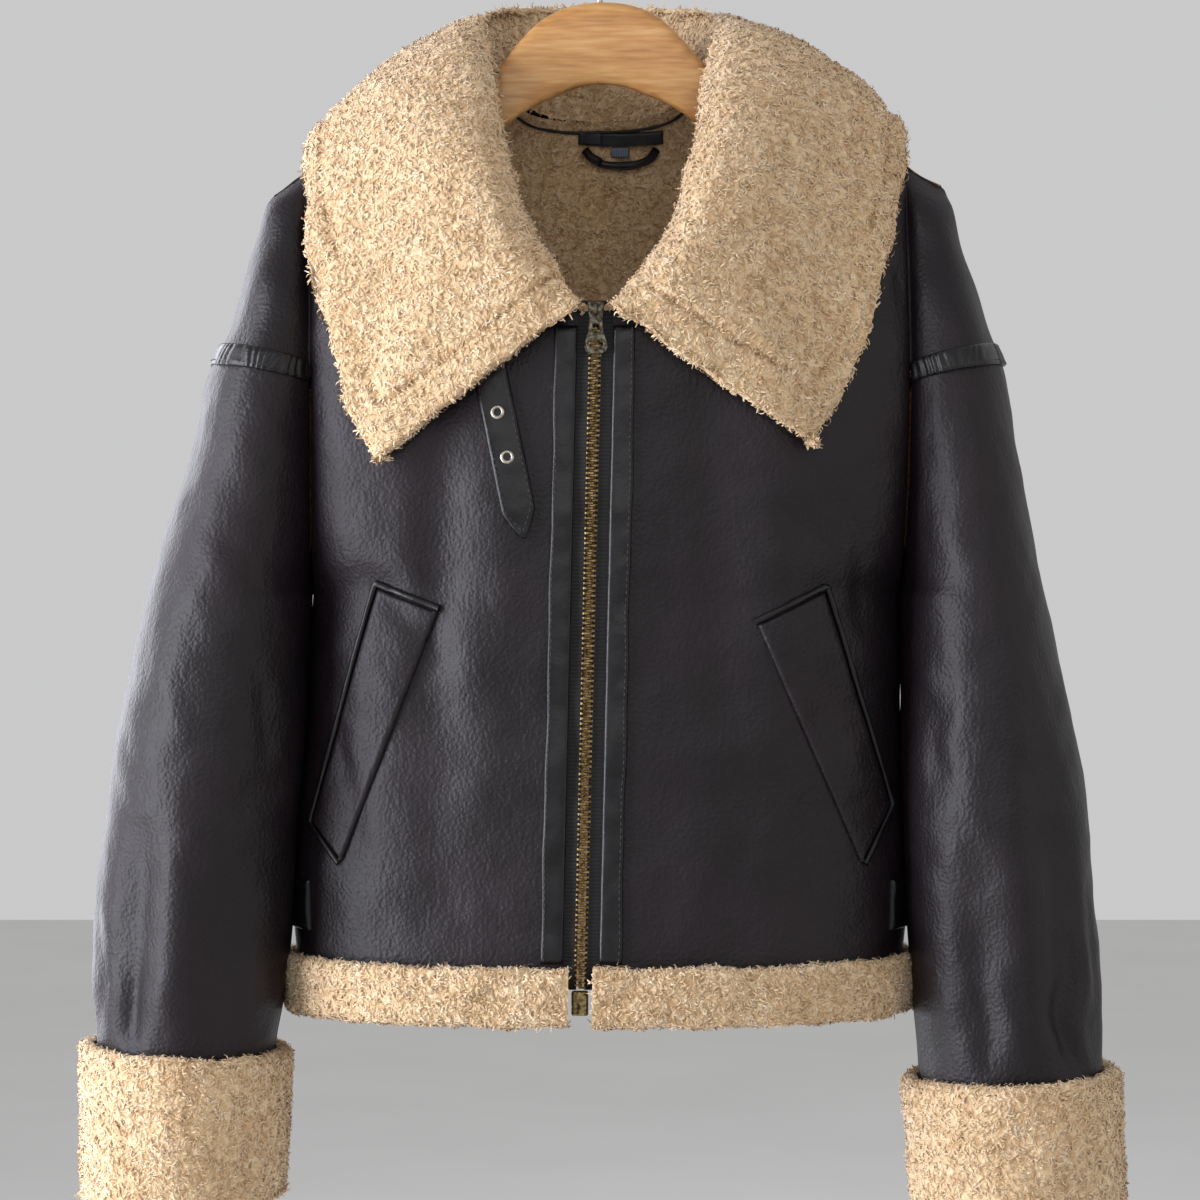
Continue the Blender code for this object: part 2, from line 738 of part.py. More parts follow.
# Section of the fall: share of the way from the roll to the edge, and share of the thickness under the pile.
FALL = table(
    "along under",
    (0.0, 0.26),
    (0.025, 0.05),
    (0.08, 0.0),
    (0.24, 0.0),
    (0.42, 0.0),
    (0.60, 0.0),
    (0.78, 0.0),
    (0.92, 0.03),
    (0.985, 0.25),
    (1.0, 0.55),
    (0.97, 0.92),
    (0.82, 1.0),
    (0.62, 1.0),
    (0.42, 1.0),
    (0.27, 0.95),
    (0.12, 0.22),
)
FOLDED = 0.1  # share of the fall that is bent over the neck's edge and lies on nothing
NEAR_ROLL = 0.2  # share within which the fall thins over the leather instead of rising
FALL_THICK = 12.0
OVER_TRIM = 4.6  # under the fall where it crosses the plackets and the throat strap
STAND_THICK = 7.0
SEAM_RISE = 2.2  # from the leather's edge to the collar
COLLAR_STEPS = 20  # sections from the zip to the centre back


def mirrored(point, side):
    return Vector((point.x * side, point.y, point.z))


def collar_place(rows, name, u, side):
    point = mirrored(Vector([read(rows, "u", u, name + axis) for axis in ("_x", "_y", "_z")]), side)
    return point + Vector((ZIP_X_TOP * max(0.0, 1 - u), 0, 0))


def neck_rows():
    """The neck seam, on the edge of the leather, at each place of the collar's table."""
    rows = []
    for row in COLLAR:
        facing = FRONT if row["u"] < 5 else BACK
        x = row["neck_x"]
        z = read(NECK[facing], "x", x, "z")
        rows.append({"u": row["u"], "neck_x": x, "neck_y": 0 if x >= NECK_HALF else body_y(-x, z, facing), "neck_z": z})
    return rows


def fall_curve(side, u, t):
    """A point of the fall's pile side: t goes from the roll to the edge."""
    rows = COLLAR_FALL[side]
    along = [
        (0.0, collar_place(COLLAR, "roll", u, side)),
        (0.24, collar_place(rows, "near", u, side)),
        (0.6, collar_place(rows, "mid", u, side)),
        (1.0, collar_place(rows, "edge", u, side)),
    ]
    point = Vector()
    for at, place in along:
        weight = 1.0
        for other, _ in along:
            if other != at:
                weight *= (t - other) / (at - other)
        point += place * weight
    return point


def fall_normal(side, u, t):
    step = 0.02
    along = fall_curve(side, min(u + 0.4, 7), t) - fall_curve(side, max(u - 0.4, 0), t)
    outward = fall_curve(side, u, t + step) - fall_curve(side, u, t - step)
    return along.cross(outward).normalized() * -side


def make_collar(tree):
    """The collar rises from the neck seam to its roll, and from there its fall lies over the shoulders."""
    sections = []
    neck = neck_rows()
    places = [(-1, u) for u in steps(0, 7, COLLAR_STEPS)] + [(1, u) for u in steps(7, 0, COLLAR_STEPS)[1:]]
    for side, u in places:
        section = []
        laid = OVER_TRIM if u < 1.7 else LAID + 0.9
        seam = collar_place(neck, "neck", u, side)
        inward = Vector((-seam.x, 10 - seam.y, 0)).normalized()
        rise = (fall_curve(side, u, 0.0) - seam).normalized() * SEAM_RISE
        stand = STAND_THICK * min(1.0, 0.4 + 0.3 * u)
        section += [seam + rise + inward, seam + rise + inward * stand]
        for row in FALL:
            t = row["along"]
            top, normal = fall_curve(side, u, t), fall_normal(side, u, t)
            low = top - normal * FALL_THICK
            if t > FOLDED:
                low = clear_of_cloth(tree, low, laid)
            thick = (top - low).dot(normal)
            if t < NEAR_ROLL:
                section.append(top - normal * max(thick, FALL_THICK * 0.3) * row["under"])
            else:
                section.append(low + normal * max(thick, FALL_THICK * 0.8) * (1 - row["under"]))
        sections.append(section)
    loft("collar", sections, PILE)


# ---------------------------------------------------------------- the front: plackets and zip

PLACKET_NEAR, PLACKET_FAR = 11.6, 25.0
PLACKET_THICK = 2.0
CHAIN_WIDE, CHAIN_THICK = 8.0, 3.4
TAPE_THICK = 1.4
SLIDER_TOP, SLIDER_LOW = -281.0, -295.5
PIVOT_Z = -286.0
PIN = 0.9  # radius


def make_plackets(tree):
    levels = steps(-296, HEM_TOP + 1.5, 20)
    for side, word in SIDES:
        grids = []
        for lift in (LAID, LAID + PLACKET_THICK):
            offs = steps(PLACKET_NEAR, PLACKET_FAR, 3)
            grids.append([[on_cloth(tree, zip_x(z) + side * off, z, FRONT, lift) for off in offs] for z in levels])
        slab("placket_" + word, *grids, TRIM)


def zip_front(z):
    return body_y(zip_x(z), z, FRONT)


def zip_bar(name, left, right, front, back, top, low, finish):
    """A bar along the zip, between two distances off its centre line and two depths behind the leather's face."""
    sections = []
    for z in steps(top, low, 20):
        x, y = zip_x(z), zip_front(z)
        corners = ((left, front), (right, front), (right, back), (left, back))
        sections.append([Vector((x + off, y + depth, z)) for off, depth in corners])
    return loft(name, sections, finish)


def make_zip():
    half = CHAIN_WIDE / 2
    zip_bar("zip_chain", -half, half, -0.6, CHAIN_THICK - 0.6, SLIDER_LOW - GAP, -706.5, BRASS)
    for side, word in SIDES:
        near, far = sorted((side * (half + GAP), side * (FRONT_EDGE - GAP)))
        zip_bar("zip_tape_" + word, near, far, 0.6, 0.6 + TAPE_THICK, SLIDER_LOW - GAP, -706.5, TAPE)

    z = (-707.0 + ZIP_BOTTOM) / 2
    bottom = object_from("zip_bottom_box", box((zip_x(z), zip_front(z) - 0.6, z), (10.4, 8.0, 15.0)), BRASS)
    bevelled(bottom, 1.4)

    z = (SLIDER_TOP + SLIDER_LOW) / 2
    x, y = zip_x(z), zip_front(z)
    slider = object_from("zip_slider", box((x, y - 0.2, z), (8.4, 8.0, SLIDER_TOP - SLIDER_LOW), 1.25), BRASS)
    bevelled(slider, 1.0)
    face = y - 4.2
    arch = [(face + 0.5, -3.6), (face - 2.4, -3.6), (face - 5.2, -2.4), (face - 5.2, 2.4), (face - 2.4, 3.6)]
    arch.append((face + 0.5, 3.6))
    curve = bpy.data.curves.new("Slider bridge", "CURVE")
    curve.dimensions = "3D"
    curve.bevel_depth = 0.8 * MM
    curve.bevel_resolution = 1
    curve.use_fill_caps = True
    spline = curve.splines.new("POLY")
    spline.points.add(len(arch) - 1)
    for point, (depth, up) in zip(spline.points, arch):
        point.co = (x * MM, depth * MM, (PIVOT_Z + up) * MM, 1)
    wire = bpy.data.objects.new("Slider bridge", curve)
    collection.objects.link(wire)
    bpy.context.view_layer.update()
    mesh = bpy.data.meshes.new_from_object(wire.evaluated_get(bpy.context.evaluated_depsgraph_get()))
    bm = bmesh.new()
    bm.from_mesh(mesh)
    bmesh.ops.remove_doubles(bm, verts=bm.verts, dist=0.01 * MM)
    bmesh.ops.recalc_face_normals(bm, faces=bm.faces)
    bm.to_mesh(mesh)
    bm.free()
    bpy.data.objects.remove(wire)
    joined(slider, finish_object(bpy.data.objects.new("Slider bridge", mesh), BRASS))
    make_pull_tab(x, face)


# Outline of the pull tab: distance down from its pin, and half its width.
TAB = table(
    "down half",
    (-1.6, 3.2),
    (2.0, 3.6),
    (8.0, 4.0),
    (14.0, 4.6),
    (20.0, 6.4),
    (23.5, 7.2),
    (26.0, 6.2),
    (27.5, 3.4),
)


def make_pull_tab(x, face):
    """The tab hangs on a pin that runs under the slider's bridge. Its eye clears the bridge on both sides."""
    pivot = Vector((x, face - 2.5, PIVOT_Z))
    thick = 2 * PIN
    ring = [(row["half"], -row["down"]) for row in TAB]
    ring += [(-half, down) for half, down in reversed(ring)]
    sections = [[Vector((wide, depth, down)) for wide, down in ring] for depth in (-thick / 2, thick / 2)]
    tab = loft("zip_pull_tab", sections, BRASS)
    eye = object_from("Eye of the tab", box((0, 0, 3.6), (4.4, 4 * thick, 5.4)), BRASS)
    slot = object_from("Slot of the tab", box((0, 0, -8.3), (4.4, 4 * thick, 13.6)), BRASS)
    hole = bmesh.new()
    bmesh.ops.create_cone(hole, cap_ends=True, segments=20, radius1=1, radius2=1, depth=4 * thick)
    for vert in hole.verts:
        vert.co = Vector((vert.co.x * 4.6, -vert.co.z, vert.co.y * 2.8 - 21.6))
    hole = object_from("Hole of the tab", hole, BRASS)
    for cutter in (eye, slot, hole):
        cut = tab.modifiers.new(cutter.name, "BOOLEAN")
        cut.operation = "DIFFERENCE"
        cut.object = cutter
        cutter.location = pivot * MM
        cutter.hide_render = True
        cutter.display_type = "WIRE"
        collection.objects.unlink(cutter)
        cutters.objects.link(cutter)
    tab.location = pivot * MM


# ---------------------------------------------------------------- pockets and straps

# Corners of each pocket's welt on the front, upper inner, upper outer, lower outer, lower inner.
POCKETS = {
    -1: table("x z", (-101, -474), (-139, -459), (-181, -607), (-162, -630)),
    1: table("x z", (98, -482), (140, -461), (183, -596), (164, -631)),
}
WELT_THICK = 2.6
PIPING = 2.0  # radius


def between(a, b, t):
    return a + (b - a) * t


def offset_path(path, off):
    """The path moved sideways in its plane, mitred at its corners. off is positive to the left of its run."""
    lefts = []
    for a, b in zip(path, path[1:]):
        along = (b - a).normalized()
        lefts.append(Vector((-along.z, 0, along.x)))
    moved = [path[0] + lefts[0] * off]
    for point, one, two in zip(path[1:-1], lefts, lefts[1:]):
        moved.append(point + (one + two) * off / (1 + one.dot(two)))
    return moved + [path[-1] + lefts[-1] * off]


def make_pockets(tree):
    for side, word in SIDES:
        corners = [Vector((row["x"], 0, row["z"])) for row in POCKETS[side]]
        top_in, top_out, low_out, low_in = corners
        grids = []
        for lift in (LAID + 0.7, LAID + WELT_THICK):
            grid = []
            for down in steps(0, 1, 10):
                inner, outer = between(top_in, low_in, down), between(top_out, low_out, down)
                line = [between(inner, outer, t) for t in steps(0, 1, 5)]
                grid.append([on_cloth(tree, p.x, p.z, FRONT, lift) for p in line])
            grids.append(grid)
        slab("pocket_welt_" + word, *grids, LEATHER)

        frame = offset_path([top_in, top_out, low_out, low_in], side * (PIPING + GAP + 0.5))
        path = []
        for a, b, count in ((frame[0], frame[1], 5), (frame[1], frame[2], 13), (frame[2], frame[3], 4)):
            path += [between(a, b, t) for t in steps(0, 1, count)][:-1]
        path.append(frame[3])
        places = [on_cloth(tree, p.x, p.z, FRONT, PIPING + LAID) for p in path]
        sections = []
        for i, place in enumerate(places):
            along = (places[min(i + 1, len(places) - 1)] - places[max(i - 1, 0)]).normalized()
            outward = (place - on_cloth(tree, path[i].x, path[i].z, FRONT, 0)).normalized()
            beside = along.cross(outward).normalized()
            outward = beside.cross(along)
            turns = [math.pi / 3 * k for k in range(6)]
            sections.append([place + beside * math.cos(a) * PIPING + outward * math.sin(a) * PIPING for a in turns])
        loft("pocket_piping_" + word, sections, TRIM)


STRAP_TOP, STRAP_TIP = Vector((-69, 0, -320)), Vector((-47, 0, -428))
STRAP_HALF = 10.5
STRAP_THICK = 2.6
EYELETS = table("name down", ("upper", 0.28), ("lower", 0.54))


def make_throat_strap(tree):
    """A pointed strap that comes out from under the left side of the collar, with two metal eyelets."""
    along = (STRAP_TIP - STRAP_TOP).normalized()
    across = Vector((-along.z, 0, along.x))
    grids = []
    for lift in (LAID, LAID + STRAP_THICK):
        grid = []
        for down, half in [(t, 1.0) for t in steps(0, 0.84, 11)] + [(0.92, 0.62), (1.0, 0.12)]:
            middle = between(STRAP_TOP, STRAP_TIP, down)
            line = [middle + across * STRAP_HALF * half * t for t in (-1, -0.35, 0.35, 1)]
            grid.append([on_cloth(tree, p.x, p.z, FRONT, lift) for p in line])
        grids.append(grid)
    slab("throat_strap", *grids, TRIM)
    for row in EYELETS:
        middle = between(STRAP_TOP, STRAP_TIP, row["down"])
        place = on_cloth(tree, middle.x, middle.z, FRONT, LAID + STRAP_THICK + GAP + 0.25)
        normal = (place - on_cloth(tree, middle.x, middle.z, FRONT, 0)).normalized()
        beside = normal.cross(along).normalized()
        upward = beside.cross(normal)
        sections = []
        for turn in steps(0, 2 * math.pi, 17)[:-1]:
            out = beside * math.cos(turn) + upward * math.sin(turn)
            sections.append([place + out * r + normal * h for r, h in ((2.5, 0), (2.5, 0.9), (3.2, 1.2), (4.0, 0.6), (4.0, 0))])
        loft("eyelet_" + row["name"], sections, STEEL, ring=True)


TAB_TOP, TAB_BOTTOM = -644.0, -676.0
SIDE_TAB_THICK = 2.4
SIDE_TAB_FRONT, SIDE_TAB_BACK = 0.93, 0.80  # shares of the body's half width


def make_side_tabs():
    """A strap round each side seam, from the front to the back."""
    for side, word in SIDES:
        grids = []
        for off in (LAID, LAID + SIDE_TAB_THICK):
            grid = []
            for z in steps(TAB_TOP, TAB_BOTTOM, 4):
                wide = half_width(side, z)
                forward = (SIDE_TAB_FRONT - 0.02, SIDE_TAB_FRONT, 0.955, 0.98, 0.993)
                backward = (0.995, 0.985, 0.965, 0.93, 0.88, SIDE_TAB_BACK, SIDE_TAB_BACK - 0.02)
                loop = [Vector((side * wide * t, body_y(wide * t * side, z, FRONT), z)) for t in forward]
                loop.append(armhole_at(side, z, FRONT))
                loop += [Vector((side * wide * t, body_y(wide * t * side, z, BACK), z)) for t in backward]
                line = []
                for i in range(1, len(loop) - 1):
                    along = (loop[i + 1] - loop[i - 1]).normalized()
                    line.append(loop[i] + Vector((along.y, -along.x, 0)) * side * off)
                grid.append(line)
            grids.append(grid)
        slab("side_tab_" + word, *grids, TRIM)


# ---------------------------------------------------------------- inside the back of the neck

LABEL = {"left": -16.0, "right": 44.0, "top": -150.5, "low": -159.0}
SIZE_TAB = {"left": 9.0, "right": 21.0, "top": -159.8, "low": -166.5}
LOOP = table("x z", (-12, -161.8), (-7, -167), (2, -171), (14, -172.5), (26, -171.5), (35, -168), (40, -161.8))


def inside_patch(name, edges, depth, thick, finish):
    grids = []
    for lift in (depth, depth + thick):
        grids.append(
            [
                [body_at(x, z, BACK, -WALL - lift) for x in steps(edges["left"], edges["right"], 6)]
                for z in steps(edges["top"], edges["low"], 3)
            ]
        )
    slab(name, *grids, finish)


def make_neck_fittings():
    inside_patch("neck_label", LABEL, LAID, 1.0, TAPE)
    inside_patch("size_tab", SIZE_TAB, LAID, 0.8, TAPE)
    radius = 2.4
    places = [body_at(row["x"], row["z"], BACK, -WALL - LAID - radius) for row in LOOP]
    sections = []
    for i, place in enumerate(places):
        along = (places[min(i + 1, len(places) - 1)] - places[max(i - 1, 0)]).normalized()
        beside = along.cross(Vector((0, 1, 0))).normalized()
        outward = beside.cross(along)
        turns = [math.pi / 3 * k for k in range(6)]
        sections.append([place + beside * math.cos(a) * radius + outward * math.sin(a) * radius for a in turns])
    loft("hang_loop", sections, TAPE)


# ---------------------------------------------------------------- the hanger

HANGER = table(
    "x top bottom half",
    (0, -78, -131, 6.5),
    (15, -79.5, -133, 6.5),
    (28, -83.5, -138, 6.5),
    (40, -90.5, -143, 6.5),
    (52, -102, -150, 6.5),
    (64, -116.5, -158, 6.0),
    (76, -128.5, -164, 6.0),
    (90, -136.5, -171, 6.0),
    (120, -152.5, -187, 6.5),
    (160, -175.5, -204, 6.0),
    (190, -194.5, -215, 5.0),
    (200, -202.5, -216, 4.0),
)
HOOK_WIRE = 1.75  # radius
HOOK_RADIUS = 18.0  # inside


def make_hanger():
    sections = []
    for x in [-row["x"] for row in reversed(HANGER)] + [row["x"] for row in HANGER[1:]]:
        top, bottom, half = (read(HANGER, "x", abs(x), column) for column in ("top", "bottom", "half"))
        rim = 5.0
        shape = (
            (-0.42, top),
            (0.42, top),
            (1.0, top - rim),
            (1.0, bottom + rim),
            (0.42, bottom),
            (-0.42, bottom),
            (-1.0, bottom + rim),
            (-1.0, top - rim),
        )
        sections.append([Vector((x, half * off, z + TILT * x)) for off, z in shape])
    loft("hanger_wood", sections, WOOD)

    centre = -HOOK_RADIUS
    reach = HOOK_RADIUS + HOOK_WIRE
    path = [(0.0, -78.0 + GAP), (0.0, -66.0), (0.3, -57.0), (2.2, -49.5), (6.5, -42.5)]
    for turn in steps(-52, 196, 22):
        angle = math.radians(turn)
        path.append((reach * math.cos(angle), centre + reach * math.sin(angle)))
    curve = bpy.data.curves.new("hanger_hook", "CURVE")
    curve.dimensions = "3D"
    curve.bevel_depth = HOOK_WIRE * MM
    curve.bevel_resolution = 1
    curve.use_fill_caps = True
    spline = curve.splines.new("POLY")
    spline.points.add(len(path) - 1)
    for point, (x, z) in zip(spline.points, path):
        point.co = (x * MM, 0, z * MM, 1)
    finish_object(bpy.data.objects.new("hanger_hook", curve), STEEL)


clear_scene()
leather = make_cloth()
make_armhole_strips()
make_cuffs()
make_hem()
make_collar(leather)
make_plackets(leather)
make_zip()
make_pockets(leather)
make_throat_strap(leather)
make_side_tabs()
make_neck_fittings()
make_hanger()
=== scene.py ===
import math

import bmesh
import bpy
import numpy as np
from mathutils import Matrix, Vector, noise
from mathutils.bvhtree import BVHTree


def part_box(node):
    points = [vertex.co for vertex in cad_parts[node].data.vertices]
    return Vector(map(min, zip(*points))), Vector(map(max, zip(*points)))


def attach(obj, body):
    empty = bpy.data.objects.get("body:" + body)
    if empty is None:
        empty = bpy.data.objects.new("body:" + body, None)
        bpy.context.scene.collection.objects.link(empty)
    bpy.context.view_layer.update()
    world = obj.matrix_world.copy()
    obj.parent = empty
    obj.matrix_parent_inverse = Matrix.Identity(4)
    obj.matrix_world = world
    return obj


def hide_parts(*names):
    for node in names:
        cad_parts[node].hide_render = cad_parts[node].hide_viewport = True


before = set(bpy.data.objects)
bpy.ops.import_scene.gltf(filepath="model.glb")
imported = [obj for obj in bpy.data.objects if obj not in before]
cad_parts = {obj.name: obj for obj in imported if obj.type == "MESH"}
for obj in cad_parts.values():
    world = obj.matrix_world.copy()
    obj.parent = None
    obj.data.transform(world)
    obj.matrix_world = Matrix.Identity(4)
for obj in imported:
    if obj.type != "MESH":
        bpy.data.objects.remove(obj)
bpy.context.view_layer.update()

# ---------------------------------------------------------------- camera
# The jacket is seen straight on from 2 m away at the height of its chest, through a short telephoto lens.
# The frame cuts off the hanger's hook and the ends of the cuffs.

camera = bpy.data.objects.new("Camera", bpy.data.cameras.new("Camera"))
bpy.context.scene.collection.objects.link(camera)
camera.location = (0.0, -1.990, -0.466)
camera.rotation_euler = (math.radians(90), 0, 0)
camera.data.sensor_width = 36.0
camera.data.lens = 91.94
camera.data.clip_start = 0.05
bpy.context.scene.camera = camera

# ---------------------------------------------------------------- room: floor, daylight and fill
# A pale painted floor and a pale room. Daylight comes from a tall window on the left, softened by a curtain,
# and the white room returns some of it from the right and from the front.


def linear(colour):
    """A colour given as sRGB hex, as the linear values that a shader takes."""
    parts = [int(colour[i : i + 2], 16) / 255 for i in (1, 3, 5)]
    return [p / 12.92 if p <= 0.04045 else ((p + 0.055) / 1.055) ** 2.4 for p in parts] + [1.0]


def fill(tree, node, inputs):
    """Sets a node's inputs. Each is a value or the output that it comes from."""
    for name, value in inputs.items():
        if isinstance(value, bpy.types.NodeSocket):
            tree.links.new(value, node.inputs[name])
        else:
            node.inputs[name].default_value = value


def add(tree, kind, inputs=None, stops=(), **settings):
    """Adds one shader node with its settings, its inputs and the colours of its ramp."""
    made = tree.nodes.new("ShaderNode" + kind)
    for name, value in settings.items():
        setattr(made, name, value)
    fill(tree, made, inputs or {})
    for i, (place, colour) in enumerate(stops):
        stop = made.color_ramp.elements[i] if i < 2 else made.color_ramp.elements.new(place)
        stop.position = place
        stop.color = linear(colour)
    return made


def new_finish(name):
    """An empty material: its node tree, its surface shader and the place on the object in metres."""
    finish = bpy.data.materials.new(name)
    finish.use_nodes = True
    tree = finish.node_tree
    return finish, tree, tree.nodes["Principled BSDF"], add(tree, "TexCoord").outputs["Object"]


# Matt wall paint on the floor: no gloss, a faint unevenness of the roller.
floor_paint, tree, shader, place = new_finish("Matt floor paint")
patches = add(tree, "TexNoise", {"Vector": place, "Scale": 3.0, "Detail": 3.0})
tint = add(tree, "ValToRGB", {"Fac": patches.outputs["Fac"]}, stops=((0.3, "#d4d3d1"), (0.7, "#d8d7d5")))
fill(tree, shader, {"Base Color": tint.outputs["Color"], "Roughness": 0.85})

floor_mesh = bpy.data.meshes.new("Floor")
floor_mesh.from_pydata([(-6, -6, -1.3), (6, -6, -1.3), (6, 6, -1.3), (-6, 6, -1.3)], [], [(0, 1, 2, 3)])
floor_mesh.materials.append(floor_paint)
floor = bpy.data.objects.new("Floor", floor_mesh)
bpy.context.scene.collection.objects.link(floor)

room = bpy.data.worlds.new("Pale room")
bpy.context.scene.world = room
room.use_nodes = True
room.node_tree.nodes["Background"].inputs["Color"].default_value = linear("#dcdcdd")
room.node_tree.nodes["Background"].inputs["Strength"].default_value = 0.82

LIGHTS = (
    # name, place, size across and up, watts, colour
    ("Window", (-1.7, -0.65, -0.40), (0.9, 2.2), 70.0, "#f4f6ff"),
    ("Window from behind", (-1.3, 1.0, -0.2), (1.0, 1.8), 30.0, "#f4f6ff"),
    ("White wall on the right", (1.9, -1.0, -0.3), (0.8, 1.8), 4.0, "#fff6ec"),
    ("Front fill", (0.2, -2.6, 0.5), (2.2, 1.2), 10.0, "#ffffff"),
)
for name, spot, (across, up), watts, colour in LIGHTS:
    lamp = bpy.data.lights.new(name, "AREA")
    lamp.shape = "RECTANGLE"
    lamp.size, lamp.size_y = across, up
    lamp.energy = watts
    lamp.color = linear(colour)[:3]
    light = bpy.data.objects.new(name, lamp)
    light.location = spot
    light.rotation_euler = (Vector((0, 0, -0.45)) - Vector(spot)).to_track_quat("-Z", "Y").to_euler()
    bpy.context.scene.collection.objects.link(light)
bpy.context.scene.view_settings.view_transform = "Standard"

# ---------------------------------------------------------------- leather body: two fronts and two backs
# Bonded sheepskin, about 1.4 mm of skin with the pile on its inside. The fronts run up over the dropped
# shoulders to the armhole seams, and the backs are joined down the middle. Every panel turns in at its seams.

FRONT, BACK = -1, 1
SIDES = ((-1, "left"), (1, "right"))


def table(columns, *rows):
    """Rows of sizes in millimetres under named columns."""
    return [dict(zip(columns.split(), row)) for row in rows]


def read(rows, key, at, column):
    """The column's values at values of the key, on a smooth curve through the rows, level past its ends."""
    rows = sorted(rows, key=lambda row: row[key])
    keys = np.array([row[key] for row in rows], float)
    values = np.array([row[column] for row in rows], float)
    slopes = np.empty(len(keys))
    slopes[1:-1] = (values[2:] - values[:-2]) / (keys[2:] - keys[:-2])
    slopes[0] = (values[1] - values[0]) / (keys[1] - keys[0])
    slopes[-1] = (values[-1] - values[-2]) / (keys[-1] - keys[-2])
    at = np.clip(at, keys[0], keys[-1])
    i = np.clip(np.searchsorted(keys, at, side="right") - 1, 0, len(keys) - 2)
    span = keys[i + 1] - keys[i]
    t = (at - keys[i]) / span
    return (
        values[i] * (1 + 2 * t) * (1 - t) ** 2
        + values[i + 1] * t * t * (3 - 2 * t)
        + slopes[i] * span * t * (1 - t) ** 2
        - slopes[i + 1] * span * t * t * (1 - t)
    )


HEM, ARMPIT, ARMHOLE, SHOULDER = -718.0, -460.0, -320.0, -182.0
SQUARENESS = 2.3  # 2 is an ellipse
LOW_ROWS, ARMPIT_ROW = 117, 76  # rows of a panel up to the armhole band, and up to the armpit
PANEL_COLUMNS, CAP_COLUMNS = 64, 31
TILT = 0.025
RIDGE = table("x z", (0, -73), (72, -115), (90, -125), (120, -142), (160, -165), (196, -187), (208, -196), (223, -203))
NECK = {
    FRONT: table("x z", (0, -286), (12, -281), (29, -265), (52, -238), (66, -190), (70, -150), (76, -117.3)),
    BACK: table("x z", (0, -148), (30, -147), (55, -140), (76, -117.3)),
}
NECK_HALF = 76.0
BODY = table(
    "z left right front back middle",
    (-718, 195, 194, 101, 99, 8),
    (-660, 199, 199.5, 100, 99, 8),
    (-607, 197, 198, 99, 98, 8),
    (-540, 190.5, 195, 97, 97, 8),
    (-500, 189.5, 195.5, 96, 96, 7),
    (-460, 186, 194.5, 96, 94, 5),
    (-390, 184, 196, 96, 92, 2),
    (-320, 184, 197, 96, 90, 0),
    (-250, 186, 197, 96, 90, 0),
    (-182, 192, 197, 96, 90, 0),
)
ARMHOLE_FOLD = table(
    "z half",
    (-460, 0),
    (-440, 21),
    (-410, 33),
    (-370, 40),
    (-320, 42),
    (-285, 37),
    (-255, 30),
    (-230, 22),
    (-208, 16),
    (-199, 13),
    (-182, 0),
)
BODY_FOLDS = {
    FRONT: table(
        "top bottom x_top x_bottom width depth",
        (-300, -560, -96, -104, 17, 6),
        (-330, -520, -62, -58, 18, -3),
        (-480, -690, -108, -92, 20, 4),
        (-320, -560, 66, 78, 19, 5),
        (-330, -560, 112, 112, 18, -3),
        (-500, -700, 138, 128, 20, 4),
    ),
    BACK: table(
        "top bottom x_top x_bottom width depth",
        (-260, -560, -112, -124, 19, 6),
        (-300, -600, -64, -48, 20, -3),
        (-240, -540, 104, 118, 20, 5),
        (-420, -700, 52, 66, 22, 4),
    ),
}
ZIP_TOP, ZIP_BOTTOM = -281.0, -722.0
ZIP_X_TOP, ZIP_X_BOTTOM = -2.4, -12.6
FRONT_EDGE = 11.0


def zip_x(z):
    return ZIP_X_TOP + (ZIP_X_BOTTOM - ZIP_X_TOP) * (ZIP_TOP - z) / (ZIP_TOP - ZIP_BOTTOM)


def half_width(side, z):
    return read(BODY, "z", z, "left" if side < 0 else "right")


def ridge(x):
    return read(RIDGE, "x", np.abs(x), "z") + TILT * x


def fold_depth(x, z, facing):
    """How far the hanging folds set the leather back."""
    depth = 0.0
    for fold in BODY_FOLDS[facing]:
        along = np.clip((fold["top"] - z) / (fold["top"] - fold["bottom"]), 0, 1)
        centre = fold["x_top"] + (fold["x_bottom"] - fold["x_top"]) * along
        away = (x - centre) / fold["width"]
        depth = depth + fold["depth"] * np.sin(np.pi * along) ** 0.8 * np.exp(-(away**2))
    return depth


def body_y(x, z, facing):
    """Depth of the leather's outer side."""
    wide = np.where(x < 0, half_width(-1, z), half_width(1, z))
    share = np.minimum(np.abs(x) / wide, 1)
    middle = read(BODY, "z", z, "middle")
    drop = np.maximum(ridge(x) - z, 0)
    reached = 1 - np.exp(-np.sqrt(drop / 1200) - drop / (105 if facing == FRONT else 62))
    full = read(BODY, "z", z, "front" if facing == FRONT else "back") * reached
    full = full - facing * middle * np.minimum(full / 40, 1)
    edge = np.minimum(read(ARMHOLE_FOLD, "z", z, "half"), full)
    y = edge + (full - edge) * (1 - share**SQUARENESS) ** (1 / SQUARENESS)
    return middle * np.minimum(full / 40, 1) + facing * (y - fold_depth(x, z, facing) * np.minimum(full / 60, 1))


def top_edge(x, facing):
    return np.where(np.abs(x) < NECK_HALF, read(NECK[facing], "x", np.abs(x), "z") + TILT * x, ridge(x))


def fold_heights(side):
    """Heights of a panel's rows at the armhole, close together over the hanger."""
    top = float(ridge(side * half_width(side, SHOULDER)))
    upper = top - (top - ARMHOLE) * (1 - np.linspace(0, 1, 50)) ** 1.4
    return np.concatenate([np.linspace(HEM, ARMHOLE, LOW_ROWS + 1)[:-1], upper])


